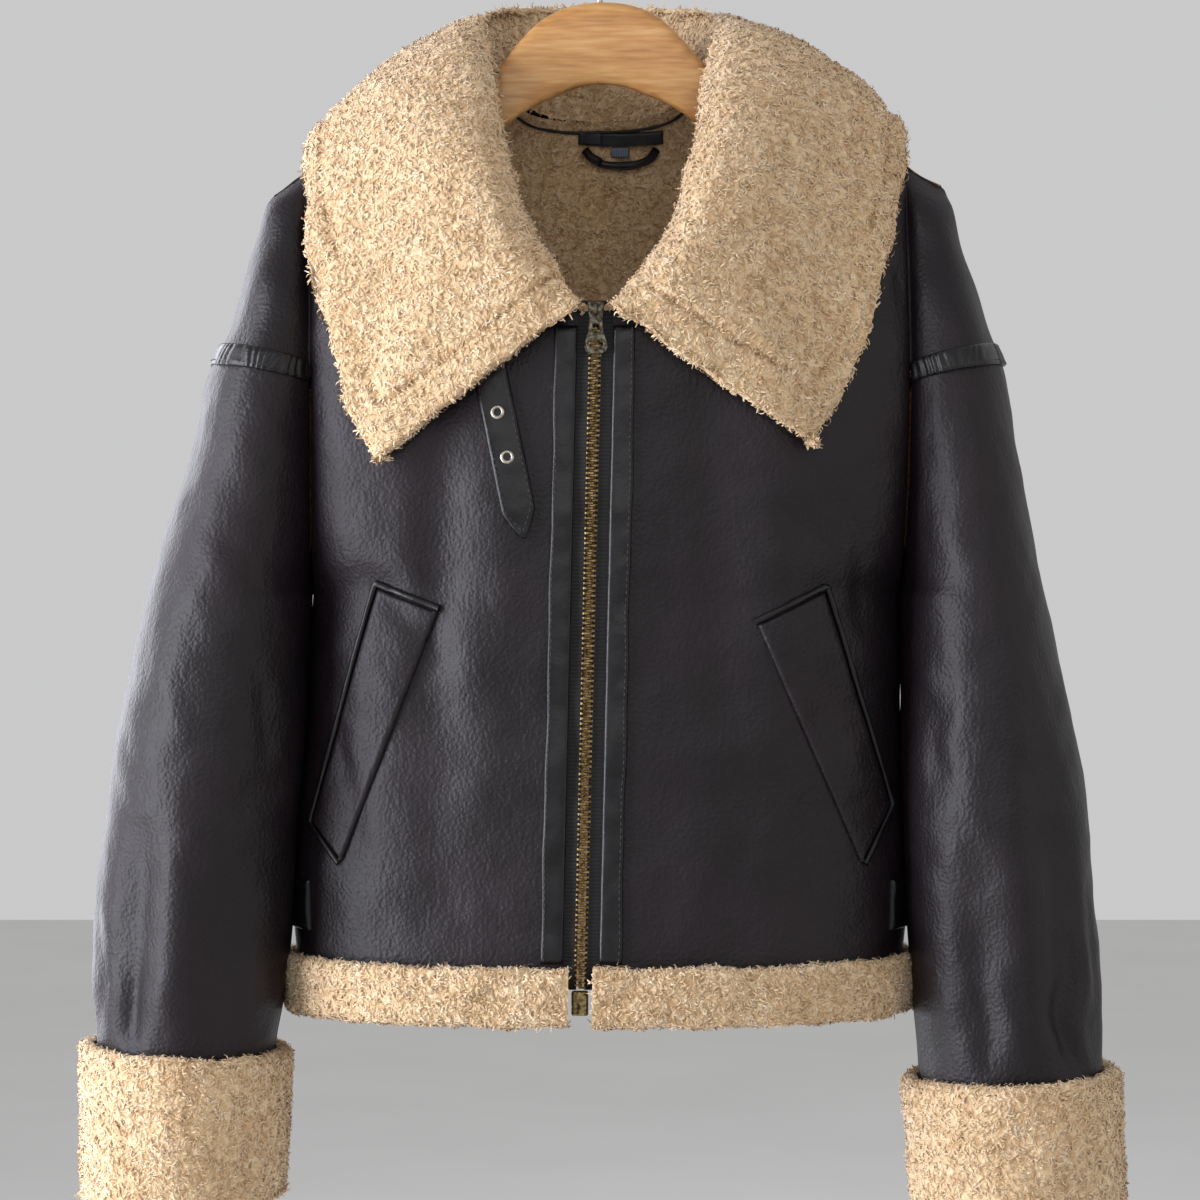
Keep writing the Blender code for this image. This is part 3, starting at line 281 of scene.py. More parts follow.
def body_grid(side, facing):
    """Points of one panel between the middle of the body and the armhole or the side seam."""
    heights = fold_heights(side)[:, None]
    top = heights[-1, 0]
    share = 1 - (1 - np.linspace(0, 1, PANEL_COLUMNS)[None, :]) ** 1.5
    neck = NECK_HALF / half_width(side, SHOULDER)
    climbed = np.clip((heights - ARMPIT) / (top - ARMPIT), 0, 1)
    z_at = np.where(heights <= ARMPIT, heights, ARMPIT + (top_edge(FRONT_EDGE, facing) - ARMPIT) * climbed)
    start = (zip_x(z_at) + side * FRONT_EDGE) * np.maximum(0, 1 - share / neck) if facing == FRONT else 0.0
    x = side * half_width(side, heights) * share + start
    x_top = side * half_width(side, SHOULDER) * share + start
    z = np.where(heights <= ARMPIT, heights + 0 * x, ARMPIT + (top_edge(x_top, facing) - ARMPIT) * climbed)
    return np.stack([x, body_y(x, z, facing), z], axis=-1)


def unit(vectors):
    """The vectors, each at length 1."""
    return vectors / np.maximum(np.linalg.norm(vectors, axis=-1, keepdims=True), 1e-9)


def normals_of(grid):
    """The directions across a grid of points, all to the same side of it."""
    return unit(np.cross(np.gradient(grid, axis=0), np.gradient(grid, axis=1)))


def turned_out(grid, outward):
    """The directions across a grid of points, each to the side where outward, a rough direction, points."""
    out = normals_of(grid)
    return out * np.where((out * outward).sum(-1, keepdims=True) < 0, -1.0, 1.0)


def unevenness(points, size, seed):
    """Smooth values from about -1 to 1 that change over this many millimetres: waves in many directions."""
    rng = np.random.default_rng(seed)
    total = 0.0
    for _ in range(10):
        direction = rng.normal(size=3)
        direction *= 2 * np.pi / (size * rng.uniform(0.7, 1.7) * np.linalg.norm(direction))
        total = total + np.sin(points @ direction + rng.uniform(0, 2 * np.pi))
    return total / 3.2


def waves(points, *rows):
    """Unevenness of several sizes together. Each row is a height, a size and a seed."""
    return sum(high * unevenness(points, size, seed) for high, size, seed in rows)


def creases(across, up, rows, wander):
    """Soft uneven troughs and ridges. Each row is a line from one place to another, its width and its depth."""
    depth = 0.0
    for x0, z0, x1, z1, width, deep in rows:
        run = np.array([x1 - x0, z1 - z0], float)
        length = np.linalg.norm(run)
        run /= length
        along = ((across - x0) * run[0] + (up - z0) * run[1]) / length
        beside = (across - x0) * -run[1] + (up - z0) * run[0] + wander * width * 0.5
        taper = np.sin(np.pi * np.clip(along, 0, 1)) ** 0.7
        depth = depth + deep * taper * np.exp(-((beside / width) ** 2)) * (1 + 0.35 * wander)
    return depth


# From x, z to x, z, then width and depth. A negative depth stands out.
CREASES = {
    FRONT: (
        (-136, -588, -46, -592, 4, 0.9),
        (-60, -600, -20, -588, 5, 0.6),
        (-150, -440, -96, -510, 13, 2.2),
        (-128, -420, -70, -520, 12, -1.6),
        (-168, -500, -150, -640, 9, 2.4),
        (-86, -520, -52, -680, 18, 1.6),
        (-40, -470, -30, -690, 11, -1.2),
        (46, -380, 40, -560, 12, 1.3),
        (58, -560, 60, -700, 15, -1.3),
        (100, -380, 150, -470, 12, 1.8),
        (150, -400, 176, -500, 9, 2.2),
        (84, -520, 96, -690, 17, 1.6),
        (30, -640, 92, -655, 6, 0.7),
        (-120, -664, -40, -672, 7, 0.8),
        (-196, -222, -176, -300, 9, 1.8),
        (206, -226, 186, -300, 9, 1.8),
    ),
    BACK: (
        (-150, -400, -90, -500, 14, 2.4),
        (-110, -430, -40, -470, 12, 1.6),
        (150, -400, 96, -490, 14, 2.2),
        (20, -450, 110, -430, 12, 1.4),
        (-30, -300, -36, -420, 16, 1.5),
        (-60, -540, -20, -690, 18, -1.8),
        (60, -560, 30, -690, 16, 1.8),
        (-130, -600, -40, -616, 6, 1.0),
        (34, -596, 128, -590, 6, 1.0),
        (-168, -480, -150, -640, 9, 2.0),
        (168, -480, 150, -640, 9, 2.0),
        (-196, -222, -176, -300, 9, 1.8),
        (206, -226, 186, -300, 9, 1.8),
    ),
}
SEAM_SINK = 1.3  # how far an edge turns in at a seam

SLEEVES = {
    -1: table(
        "z outer inner depth centre",
        (-204, 213, 192, 0, 0),
        (-212, 217, 191, 16, 0),
        (-226, 222, 189, 27, 0),
        (-242, 226, 187, 36, 0),
        (-266, 232, 186, 48, 0),
        (-290, 238, 185, 57, 0),
        (-320, 253, 184, 64, 0),
        (-363, 262, 184, 68, -2),
        (-424, 280, 184, 70, -8),
        (-478, 294, 186, 71, -14),
        (-539, 308, 188.5, 71, -20),
        (-607, 318, 193.5, 69, -25),
        (-659, 323, 196, 66, -27),
        (-710, 324, 201, 63, -28),
        (-752, 321, 208, 60, -28),
        (-836, 320, 213, 57, -28),
    ),
    1: table(
        "z outer inner depth centre",
        (-198, 223, 197, 0, 0),
        (-211, 227, 197, 18, 0),
        (-226, 231, 197, 29, 0),
        (-244, 237, 197, 38, 0),
        (-272, 246, 197, 51, 0),
        (-296, 253, 197, 59, 0),
        (-320, 262, 197, 65, 0),
        (-376, 271, 196, 69, -3),
        (-453, 284, 193, 71, -11),
        (-505, 294, 194, 71, -16),
        (-556, 304, 193, 70, -21),
        (-607, 312, 194.5, 69, -25),
        (-659, 316, 196, 66, -27),
        (-710, 320, 199, 63, -28),
        (-762, 321, 204, 60, -28),
        (-854, 325, 211, 57, -28),
    ),
}
SLEEVE_END = {-1: -836.0, 1: -854.0}
TIP = {-1: 213.0, 1: 223.0}
ARCH = table("z rise", (-460, 0), (-400, 5), (-320, 14), (-290, 12), (-247, 3), (-212, -8), (-182, -15))
SLEEVE_FOLDS = {
    -1: table(
        "turn top bottom width depth",
        (241, -600, -742, 15, 7),
        (300, -620, -742, 14, 5),
        (268, -560, -742, 14, -3),
        (95, -520, -742, 20, 6),
        (140, -430, -640, 18, 4),
    ),
    1: table(
        "turn top bottom width depth",
        (248, -600, -768, 14, 5),
        (305, -600, -768, 15, 7),
        (276, -560, -768, 14, -3),
        (80, -540, -768, 20, 6),
        (40, -430, -640, 18, 4),
    ),
}


def sleeve_at(side, share, fold_z, lift=0.0):
    """Points of the sleeve or of the cap over it, moved out by lift. share runs round the arm from 0 to 1, and
    fold_z is the height of the point's row at the armhole. Also gives the turn in degrees and the way out."""
    rise = np.where(fold_z > ARMPIT, read(ARCH, "z", fold_z, "rise"), 0.0)
    level = fold_z + rise
    outer, inner, depth, centre = (
        read(SLEEVES[side], "z", level, column) for column in ("outer", "inner", "depth", "centre")
    )
    half = read(ARMHOLE_FOLD, "z", fold_z, "half")
    opening = np.arcsin(np.minimum(half / np.maximum(depth, 1), 1))
    turn = opening + (2 * np.pi - 2 * opening) * share + (0 if side < 0 else np.pi)
    width = (outer - inner) / (1 + np.cos(opening))
    middle = side * (outer - width)
    degrees = np.degrees(turn) % 360
    for fold in SLEEVE_FOLDS[side]:
        along = np.clip((fold["top"] - level) / (fold["top"] - fold["bottom"]), 0, 1)
        away = (degrees - fold["turn"] + 180) % 360 - 180
        lift = lift - fold["depth"] * np.sin(np.pi * along) ** 0.8 * np.exp(-((away / fold["width"]) ** 2))
    ways = [np.cos(turn) * np.maximum(depth, 1), np.sin(turn) * width + 0 * depth, 0 * turn]
    direction = unit(np.stack(ways, axis=-1))
    z = fold_z + rise * np.sin(np.pi * share)
    points = np.stack([middle + np.cos(turn) * width, centre + np.sin(turn) * depth, z + 0 * turn], axis=-1)
    return points + direction * np.asarray(lift)[..., None], degrees, direction


def sleeve_grid(side, shares, heights, lift=0.0):
    """Rows round the arm, whose ends lie on the armhole's fold where the rows are above the armpit."""
    shares, heights = shares[None, :], heights[:, None]
    points, degrees, direction = sleeve_at(side, shares, heights, lift)
    half = read(ARMHOLE_FOLD, "z", heights[:, 0], "half")
    middle = read(BODY, "z", heights[:, 0], "middle")
    above = (heights[:, 0] >= ARMPIT)[:, None, None]
    reach = 0.25
    for share, sign in ((0.0, -side), (1.0, side)):
        fold = np.stack([side * half_width(side, heights[:, 0]), middle + sign * half, heights[:, 0]], axis=-1)
        bare = sleeve_at(side, np.array([[share]]), heights, lift)[0][:, 0]
        fade = np.maximum(0, 1 - np.abs(shares[0] - share) / reach) ** 2
        points = points + np.where(above, (fold - bare)[:, None, :] * fade[None, :, None], 0.0)
    return points, degrees, direction


def cap_grid(side, shares):
    """The leather round the top of the arm, from the armhole seam up to the end of the hanger."""
    heights = fold_heights(side)[LOW_ROWS:]
    points, _, direction = sleeve_grid(side, shares, heights)
    start = float(half_width(side, SHOULDER))
    x = side * (start + (TIP[side] - start) * (1 - np.abs(2 * shares - 1)))
    crest = np.stack([x, 0 * x, ridge(x)], axis=-1)
    near_top = np.clip((heights + 199) / (heights[-1] + 199), 0, 1)[:, None, None]
    return points * (1 - near_top) + crest[None] * near_top, direction


def faces_of(rows, columns, first=0, round_rows=False, round_columns=False):
    """Four-sided faces over a grid of points, closed round where it runs round."""
    r = np.arange(rows if round_rows else rows - 1)[:, None]
    c = np.arange(columns if round_columns else columns - 1)[None, :]
    r1, c1 = (r + 1) % rows, (c + 1) % columns
    corners = [r * columns + c, r * columns + c1, r1 * columns + c1, r1 * columns + c]
    return (np.stack(corners, axis=-1) + first).reshape(-1, 4)


def riding(name, mesh, finish, body="jacket"):
    """A piece with this mesh and this finish, riding on a body of the frame."""
    mesh.materials.append(finish)
    piece = bpy.data.objects.new(name, mesh)
    bpy.context.scene.collection.objects.link(piece)
    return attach(piece, body)


def piece_from(name, grids, finish, body="jacket", weld=0.0, closed=(False, False), tone=None):
    """A smooth mesh from grids of points in millimetres, riding on a body of the frame."""
    points, faces = [], []
    count = 0
    for grid in grids:
        faces.append(faces_of(grid.shape[0], grid.shape[1], count, *closed))
        points.append(grid.reshape(-1, 3))
        count += len(points[-1])
    mesh = bpy.data.meshes.new(name)
    mesh.from_pydata((np.concatenate(points) * 0.001).tolist(), [], np.concatenate(faces).tolist())
    if tone is not None:
        mesh.attributes.new("tone", "FLOAT", "POINT").data.foreach_set("value", tone.astype(np.float32).ravel())
    if weld or closed == (False, False):
        bm = bmesh.new()
        bm.from_mesh(mesh)
        if weld:
            bmesh.ops.remove_doubles(bm, verts=bm.verts, dist=weld * 0.001)
        bmesh.ops.recalc_face_normals(bm, faces=bm.faces)
        bm.to_mesh(mesh)
        bm.free()
    mesh.shade_smooth()
    return riding(name, mesh, finish, body)


# Drum-dyed sheepskin with a semi-matt finish: nearly black, aubergine where the light grazes it. The pebbled
# grain is about 1.5 mm across, drawn at 2.2 mm so that it shows, over fine wrinkles that run down the panels.
leather, tree, shader, place = new_finish("Aniline sheepskin, semi-matt")
cloudy = add(tree, "TexNoise", {"Vector": place, "Scale": 9.0, "Detail": 4.0, "Roughness": 0.6})
tint = add(
    tree,
    "ValToRGB",
    {"Fac": cloudy.outputs["Fac"]},
    stops=((0.30, "#100b0f"), (0.70, "#1c141a")),
)
drawn = add(tree, "Mapping", {"Vector": place, "Scale": (1.0, 1.0, 0.30)})
wrinkles = add(tree, "TexNoise", {"Vector": drawn.outputs["Vector"], "Scale": 260.0, "Detail": 4.0, "Roughness": 0.62})
pebbles = add(tree, "TexVoronoi", {"Vector": place, "Scale": 1 / 0.0022}, feature="SMOOTH_F1")
gloss = {"Value": cloudy.outputs["Fac"], "From Min": 0.3, "From Max": 0.7, "To Min": 0.44, "To Max": 0.54}
worn = add(tree, "MapRange", gloss)
low_relief = add(tree, "Bump", {"Height": wrinkles.outputs["Fac"], "Strength": 0.4, "Distance": 0.0010})
raised = {"Height": pebbles.outputs["Distance"], "Strength": 0.6, "Distance": 0.0007}
grain = add(tree, "Bump", raised | {"Normal": low_relief.outputs["Normal"]})
surface = {
    "Base Color": tint.outputs["Color"],
    "Roughness": worn.outputs["Result"],
    "Normal": grain.outputs["Normal"],
    "IOR": 1.5,
    "Specular IOR Level": 0.30,
}
fill(tree, shader, surface)

cap_shares = np.linspace(0, 1, 2 * CAP_COLUMNS - 1)
leather_grids = {}
for side, word in SIDES:
    cap, cap_out = cap_grid(side, cap_shares)
    for facing, panel in ((FRONT, "front"), (BACK, "back")):
        grid = body_grid(side, facing)
        out = turned_out(grid, np.array([0.0, facing, 0.15]) + 0 * grid)
        wander = unevenness(grid, 46, 3)
        relief = waves(grid, (0.9, 95, 5), (0.4, 34, 6), (0.16, 14, 7))
        relief = relief - creases(grid[..., 0], grid[..., 2], CREASES[facing], wander)
        fade_side = np.clip((1 - np.linspace(0, 1, PANEL_COLUMNS)) / 0.12, 0, 1)[None, :]
        fade_top = np.clip((grid[-1:, :, 2] - grid[..., 2]) / 25, 0, 1)
        middle = np.linalg.norm(grid - grid[:, :1], axis=-1)
        up = np.linalg.norm(grid - grid[-1:], axis=-1)
        relief = relief * fade_side * fade_top
        relief = relief - SEAM_SINK * np.exp(-((middle / 1.6) ** 2)) - SEAM_SINK * np.exp(-((up / 1.4) ** 2))
        grid = grid + out * relief[..., None]
        leather_grids[panel, side] = (grid, out)
        half = slice(0, CAP_COLUMNS) if side * facing < 0 else slice(CAP_COLUMNS - 1, None)
        shoulder, way_out = cap[:, half], cap_out[:, half]
        from_fold = np.linspace(*((0, 1) if side * facing < 0 else (1, 0)), CAP_COLUMNS)
        sunk = np.linalg.norm(shoulder - shoulder[-1:], axis=-1)
        ripple = 1.0 * unevenness(shoulder, 40, 9) * np.clip(from_fold / 0.2, 0, 1) * np.clip(sunk / 14, 0, 1)
        shoulder = shoulder + way_out * (ripple - SEAM_SINK * np.exp(-((sunk / 1.6) ** 2)))[..., None]
        leather_grids[panel + " cap", side] = (shoulder, way_out)
        piece = piece_from(f"{panel}_{word}_leather", [grid, shoulder], leather, weld=0.4)
        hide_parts(f"{panel}_{word}")

# ---------------------------------------------------------------- sleeves
# One piece of the same sheepskin each, sewn to the body at a dropped armhole and closed down the inside of the
# arm. They hang down beside the body and crease above the turned-up cuffs.

# From turn, z to turn, z, then width and depth; turn is in degrees round the arm, 270 at the front.
SLEEVE_CREASES = {
    -1: (
        (236, -690, 252, -752, 7, 2.6),
        (262, -660, 268, -752, 8, -1.8),
        (284, -650, 290, -748, 7, 2.0),
        (200, -640, 216, -740, 9, 1.6),
        (250, -380, 300, -470, 16, 1.6),
        (230, -470, 262, -560, 14, -1.4),
        (296, -500, 320, -600, 12, 2.2),
        (210, -540, 240, -650, 12, 1.5),
        (60, -560, 120, -600, 14, 2.2),
        (70, -640, 110, -740, 10, 2.4),
        (150, -560, 170, -720, 12, 1.6),
        (110, -400, 150, -500, 16, 1.8),
    ),
    1: (
        (244, -700, 250, -764, 6, 2.0),
        (262, -690, 262, -766, 7, -1.6),
        (298, -700, 306, -768, 8, 3.0),
        (322, -660, 316, -766, 8, -2.0),
        (334, -640, 332, -760, 8, 2.0),
        (300, -380, 250, -470, 16, 1.6),
        (306, -480, 280, -560, 14, -1.4),
        (232, -500, 226, -600, 12, 2.2),
        (290, -560, 300, -660, 12, 1.5),
        (60, -600, 120, -560, 14, 2.2),
        (70, -740, 110, -640, 10, 2.4),
        (30, -560, 20, -720, 12, 1.6),
        (60, -500, 30, -400, 16, 1.8),
    ),
}
for side, word in SIDES:
    armhole_heights = fold_heights(side)[ARMPIT_ROW : LOW_ROWS + 1]
    heights = np.concatenate([np.linspace(SLEEVE_END[side], ARMPIT, 112)[:-1], armhole_heights])
    shares = np.linspace(0, 1, 113)
    grid, degrees, out = sleeve_grid(side, shares, heights)
    wander = unevenness(grid, 50, 11 + side)
    relief = waves(grid, (1.0, 90, 15), (0.4, 32, 16), (0.16, 14, 17))
    relief = relief - creases(degrees, grid[..., 2], SLEEVE_CREASES[side], wander)
    near_fold = np.minimum(shares, 1 - shares)[None, :]
    relief = relief * np.clip(near_fold / 0.05, 0, 1) * np.clip((ARMHOLE - heights[:, None]) / 12, 0, 1)
    low_seam = np.exp(-((near_fold * 380 / 1.8) ** 2))
    top_seam = np.exp(-(((ARMHOLE - heights[:, None]) / 2.5) ** 2))
    grid = grid + out * (relief - SEAM_SINK * (low_seam + top_seam))[..., None]
    leather_grids["sleeve", side] = (grid, out)
    piece = piece_from(f"sleeve_{word}_leather", [grid], leather, weld=0.3)
    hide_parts(f"sleeve_{word}")

# ---------------------------------------------------------------- pile lining
# The other face of the sheepskin: short curly pile, seen inside the back of the neck, at the hem and in the
# cuffs. It is in the shade there, and the lining inside the body and the sleeves is painted darker than the collar, as
# painted shade.

# Undyed curly wool pile: dull and cream, with a soft glow along its edges. Its colour holds painted shade: honey-brown
# at the roots and in the hollows between the tufts, cream at the tips and on the tufts' tops, with some random tone.
pile, tree, shader, place = new_finish("Curly wool pile, cream")
tone_and_shade = add(tree, "Attribute", attribute_name="tone")
tufts = add(tree, "TexNoise", {"Vector": place, "Scale": 200.0, "Detail": 1.0, "Distortion": 1.2})
# The tufts noise that raises the bump also paints shade: where it sets the pile down, the colour turns darker.
tuft_shade_range = {"Value": tufts.outputs["Fac"], "From Min": 0.34, "From Max": 0.66, "To Min": -0.20, "To Max": 0.14}
painted_tuft_shade = add(tree, "MapRange", tuft_shade_range)
height = add(tree, "Math", {0: tone_and_shade.outputs["Fac"], 1: painted_tuft_shade.outputs["Result"]}, operation="ADD")
# The ramp paints shade and light: honey-brown where the tone and the tufts are low, cream where they are high.
tint = add(
    tree,
    "ValToRGB",
    {"Fac": height.outputs["Value"]},
    stops=((0.0, "#93714e"), (1.0, "#f0dfc6"), (0.30, "#c5a379"), (0.62, "#dfc49e")),
)
raised = add(tree, "Bump", {"Height": tufts.outputs["Fac"], "Strength": 0.9, "Distance": 0.0035})
strands = add(tree, "TexNoise", {"Vector": place, "Scale": 1100.0, "Detail": 2.0})
fine = {"Height": strands.outputs["Fac"], "Strength": 0.5, "Distance": 0.0006}
fuzz = add(tree, "Bump", fine | {"Normal": raised.outputs["Normal"]})
surface = {
    "Base Color": tint.outputs["Color"],
    "Normal": fuzz.outputs["Normal"],
    "Roughness": 0.9,
    "Specular IOR Level": 0.15,
    "Sheen Weight": 0.25,
    "Sheen Roughness": 0.6,
}
fill(tree, shader, surface)


def bumpy(grid, fine, coarse):
    """Heights from about -1 to 1 of a curly surface with lumps of these two sizes."""
    flat = grid.reshape(-1, 3)
    values = [
        0.55 * noise.noise(Vector(p / fine)) + 0.75 * noise.noise(Vector(p / coarse + 40)) for p in flat
    ]
    return np.array(values).reshape(grid.shape[:-1])


def locks(name, grid, out, count, length, width, seed, finish, short=None, lift=0.0):
    """Curled locks of wool over a grid of points. Each is a narrow ribbon that leaves the skin, bends over and
    turns back to it. short is a grid of shares by which they are shortened, and lift raises their roots."""
    rng = np.random.default_rng(seed)
    a, b, c, d = grid[:-1, :-1], grid[:-1, 1:], grid[1:, 1:], grid[1:, :-1]
    area = np.linalg.norm(np.cross(c - a, b - d), axis=-1).ravel()
    filled = np.cumsum(area)
    picked = np.searchsorted(filled, (np.arange(count) + rng.random(count)) / count * filled[-1])
    picked = np.minimum(picked, len(area) - 1)
    r, q = np.divmod(picked, grid.shape[1] - 1)
    s, t = rng.random((2, count))
    weights = np.stack([(1 - s) * (1 - t), (1 - s) * t, s * t, s * (1 - t)])

    def between(values):
        four = np.stack([values[r, q], values[r, q + 1], values[r + 1, q + 1], values[r + 1, q]])
        shaped = weights.reshape(weights.shape + (1,) * (four.ndim - 2))
        return (four * shaped).sum(0)

    root, up = between(grid), between(out)
    up = unit(up)
    first = unit(np.cross(up, np.array([0.31, 0.17, 0.93])))
    second = np.cross(up, first)
    way = 2.8 * unevenness(root, 9, seed + 1) + rng.normal(0, 0.55, count)
    along = first * np.cos(way)[:, None] + second * np.sin(way)[:, None]
    beside = np.cross(up, along)
    kept = 1.0 if short is None else 1 - between(short)
    long = length * rng.uniform(0.65, 1.3, count) * kept
    rise = np.radians(rng.uniform(20, 75, count))
    bend = np.minimum(rng.uniform(1.6, 3.4, count), rise + 1.3)
    sway = rng.normal(0, 0.5, count)
    joints = 4
    spine = [root + up * lift]
    for k in range(joints - 1):
        angle = rise - bend * (k + 0.3) / (joints - 1)
        step = along * np.cos(angle)[:, None] + up * np.sin(angle)[:, None] + beside * (sway * (k - 1))[:, None] * 0.4
        spine.append(spine[-1] + step * (long / (joints - 1))[:, None])
    spine = np.stack(spine, axis=1)
    wide = width * rng.uniform(0.7, 1.3, count)[:, None] * np.array([0.9, 1.0, 0.85, 0.4])[None]
    half = beside[:, None] * wide[..., None] / 2
    edges = np.stack([spine - half, spine + half], axis=2)
    base = np.arange(count)[:, None] * joints * 2 + np.arange(joints - 1)[None] * 2
    faces = np.stack([base, base + 2, base + 3, base + 1], axis=-1).reshape(-1, 4)
    # Painted shade: each lock is darker at its root, down in the pile, and lighter at its tip; the tone also differs
    # at random from lock to lock and in patches.
    tone = np.array([0.40, 0.52, 0.60, 0.60])[None] + rng.normal(0, 0.04, count)[:, None]
    tone = tone + 0.07 * unevenness(root, 30, seed + 2)[:, None]
    mesh = bpy.data.meshes.new(name)
    mesh.from_pydata((edges.reshape(-1, 3) * 0.001).tolist(), [], faces.tolist())
    values = np.repeat(tone[..., None], 2, axis=2).astype(np.float32).ravel()
    mesh.attributes.new("tone", "FLOAT", "POINT").data.foreach_set("value", values)
    mesh.shade_smooth()
    # A lock is round, so it is shaded as a curl that rises out of the pile and turns back to it.
    facing = up[:, None] + along[:, None] * np.array([-0.45, 0.0, 0.4, 0.75])[None, :, None]
    facing = np.repeat(unit(facing).reshape(-1, 3), 2, axis=0)
    mesh.normals_split_custom_set_from_vertices(facing.tolist())
    piece = riding(name, mesh, finish)
    return piece


LINING_DEPTH = 4.4  # from the leather's outer side to the middle of the pile
CURLS = (2.6, 6.0)  # sizes of the lumps where the pile shows its curls
PRESSED = (3.0, 7.0)  # and inside, where it is pressed
lining_grids = []
for side, word in SIDES:
    for panel in ("front", "back"):
        grid, out = leather_grids[panel, side]
        lining_grids.append(grid[::3, ::3] - out[::3, ::3] * LINING_DEPTH)
        shoulder, out = leather_grids[panel + " cap", side]
        from_ridge = np.linalg.norm(shoulder - shoulder[-1:], axis=-1)[::3, ::3, None]
        lining_grids.append(shoulder[::3, ::3] - out[::3, ::3] * LINING_DEPTH * np.clip(from_ridge / 24, 0.1, 1))
    grid, out = leather_grids["sleeve", side]
    inside = grid[::3, ::4] - out[::3, ::4] * LINING_DEPTH
    # Painted shade: the sleeve's lining is toned darker than the collar, with painted light and shade of pressed lumps
    # that its surface doesn't have.
    tone = 0.30 + 0.2 * bumpy(inside, *PRESSED)
    piece = piece_from(f"lining_sleeve_{word}", [inside], pile, tone=tone)
# Painted shade: the body's lining is toned darker than the collar too, with painted light and shade of pressed lumps.
tone = np.concatenate([(0.30 + 0.2 * bumpy(grid, *PRESSED)).ravel() for grid in lining_grids])
lining = piece_from("lining_body", lining_grids, pile, tone=tone)

# ---------------------------------------------------------------- collar
# A wide one-piece collar of the same sheepskin worn pile side out. It stands at the neck, rolls over and lies
# on the shoulders in two pointed wings, with a line of stitching sunk in the pile inside its edges.

COLLAR = table(
    "u neck_x roll_x roll_y roll_z",
    (0, 8, 9, -97, -280),
    (1, 29, 26, -82, -253),
    (2, 52, 44, -64, -222),
    (3, 66, 58, -42, -168),
    (4, 72, 67, -10, -117),
    (5, 76, 74, 20, -86),
    (6, 48, 46, 62, -73),
    (7, 0, 0, 80, -70),
)
COLLAR_FALL = {
    -1: table(
        "u near_x near_y near_z mid_x mid_y mid_z edge_x edge_y edge_z",
        (0, 34, -101, -298, 80, -100, -333, 140, -90, -377),
        (1, 44, -98, -264, 98, -88, -284, 166, -72, -330),
        (2, 60, -90, -236, 116, -70, -230, 184, -48, -256),
        (3, 77, -64, -177, 130, -44, -166, 193, -24, -205),
        (4, 85, -16, -108, 134, -8, -119, 195, 2, -168),
        (5, 89, 25, -84, 136, 36, -113, 182, 50, -186),
        (6, 59, 76, -77, 92, 92, -128, 118, 86, -216),
        (7, 0, 93, -75, 0, 102, -130, 0, 101, -215),
    ),
    1: table(
        "u near_x near_y near_z mid_x mid_y mid_z edge_x edge_y edge_z",
        (0, 34, -101, -300, 76, -100, -327, 138, -90, -367),
        (1, 44, -98, -264, 98, -88, -278, 165, -70, -317),
        (2, 60, -90, -234, 118, -70, -225, 185, -48, -249),
        (3, 77, -64, -173, 133, -44, -160, 197, -24, -203),
        (4, 86, -16, -104, 140, -8, -112, 203, 2, -164),
        (5, 91, 25, -82, 140, 36, -109, 188, 50, -184),
        (6, 59, 76, -77, 92, 92, -127, 120, 86, -216),
        (7, 0, 93, -75, 0, 102, -130, 0, 101, -215),
    ),
}
FALL_THICK, OVER_TRIM, STAND_THICK, SEAM_RISE, FOLDED, NEAR_ROLL, LAID = 12.0, 4.6, 7.0, 2.2, 0.1, 0.2, 0.9
COLLAR_CENTRE = np.array([0.0, 0.0, -200.0])
GROOVE = 24.0  # from the collar's edge to the sunk stitching

solids = bmesh.new()
for node in ("front_left", "front_right", "back_left", "back_right"):
    solids.from_mesh(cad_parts[node].data)
under_collar = BVHTree.FromBMesh(solids)
solids.free()


def collar_place(rows, name, u, side):
    point = np.array([float(read(rows, "u", u, name + axis)) for axis in ("_x", "_y", "_z")])
    return point * (side, 1, 1) + (ZIP_X_TOP * max(0.0, 1 - u), 0, 0)


def fall_curve(side, u, t):
    """A point of the fall's pile side: t goes from the roll to the edge."""
    rows = COLLAR_FALL[side]
    along = [
        (0.0, collar_place(COLLAR, "roll", u, side)),
        (0.24, collar_place(rows, "near", u, side)),
        (0.6, collar_place(rows, "mid", u, side)),
        (1.0, collar_place(rows, "edge", u, side)),
    ]
    point = np.zeros(3)
    for at, spot in along:
        weight = 1.0
        for other, _ in along:
            if other != at:
                weight *= (t - other) / (at - other)
        point += spot * weight
    return point


def fall_normal(side, u, t):
    along = fall_curve(side, min(u + 0.4, 7), t) - fall_curve(side, max(u - 0.4, 0), t)
    outward = fall_curve(side, u, t + 0.02) - fall_curve(side, u, t - 0.02)
    normal = np.cross(along, outward)
    return normal / np.linalg.norm(normal) * -side


def clear_of_leather(point, lift):
    """The point, moved out where it is less than lift over the leather."""
    near, normal, _, _ = under_collar.find_nearest(Vector(point * 0.001))
    near, normal = np.array(near) * 1000, np.array(normal)
    offset = point - near
    high = offset @ normal
    beside = np.linalg.norm(offset - normal * high)
    return point + normal * (lift - high) if high < lift and beside < 3 else point


neck = []
for row in COLLAR:
    facing, x = (FRONT if row["u"] < 5 else BACK), row["neck_x"]
    z = float(read(NECK[facing], "x", x, "z"))
    y = 0 if x >= NECK_HALF else float(body_y(-x, z, facing))
    neck.append({"u": row["u"], "neck_x": x, "neck_y": y, "neck_z": z})

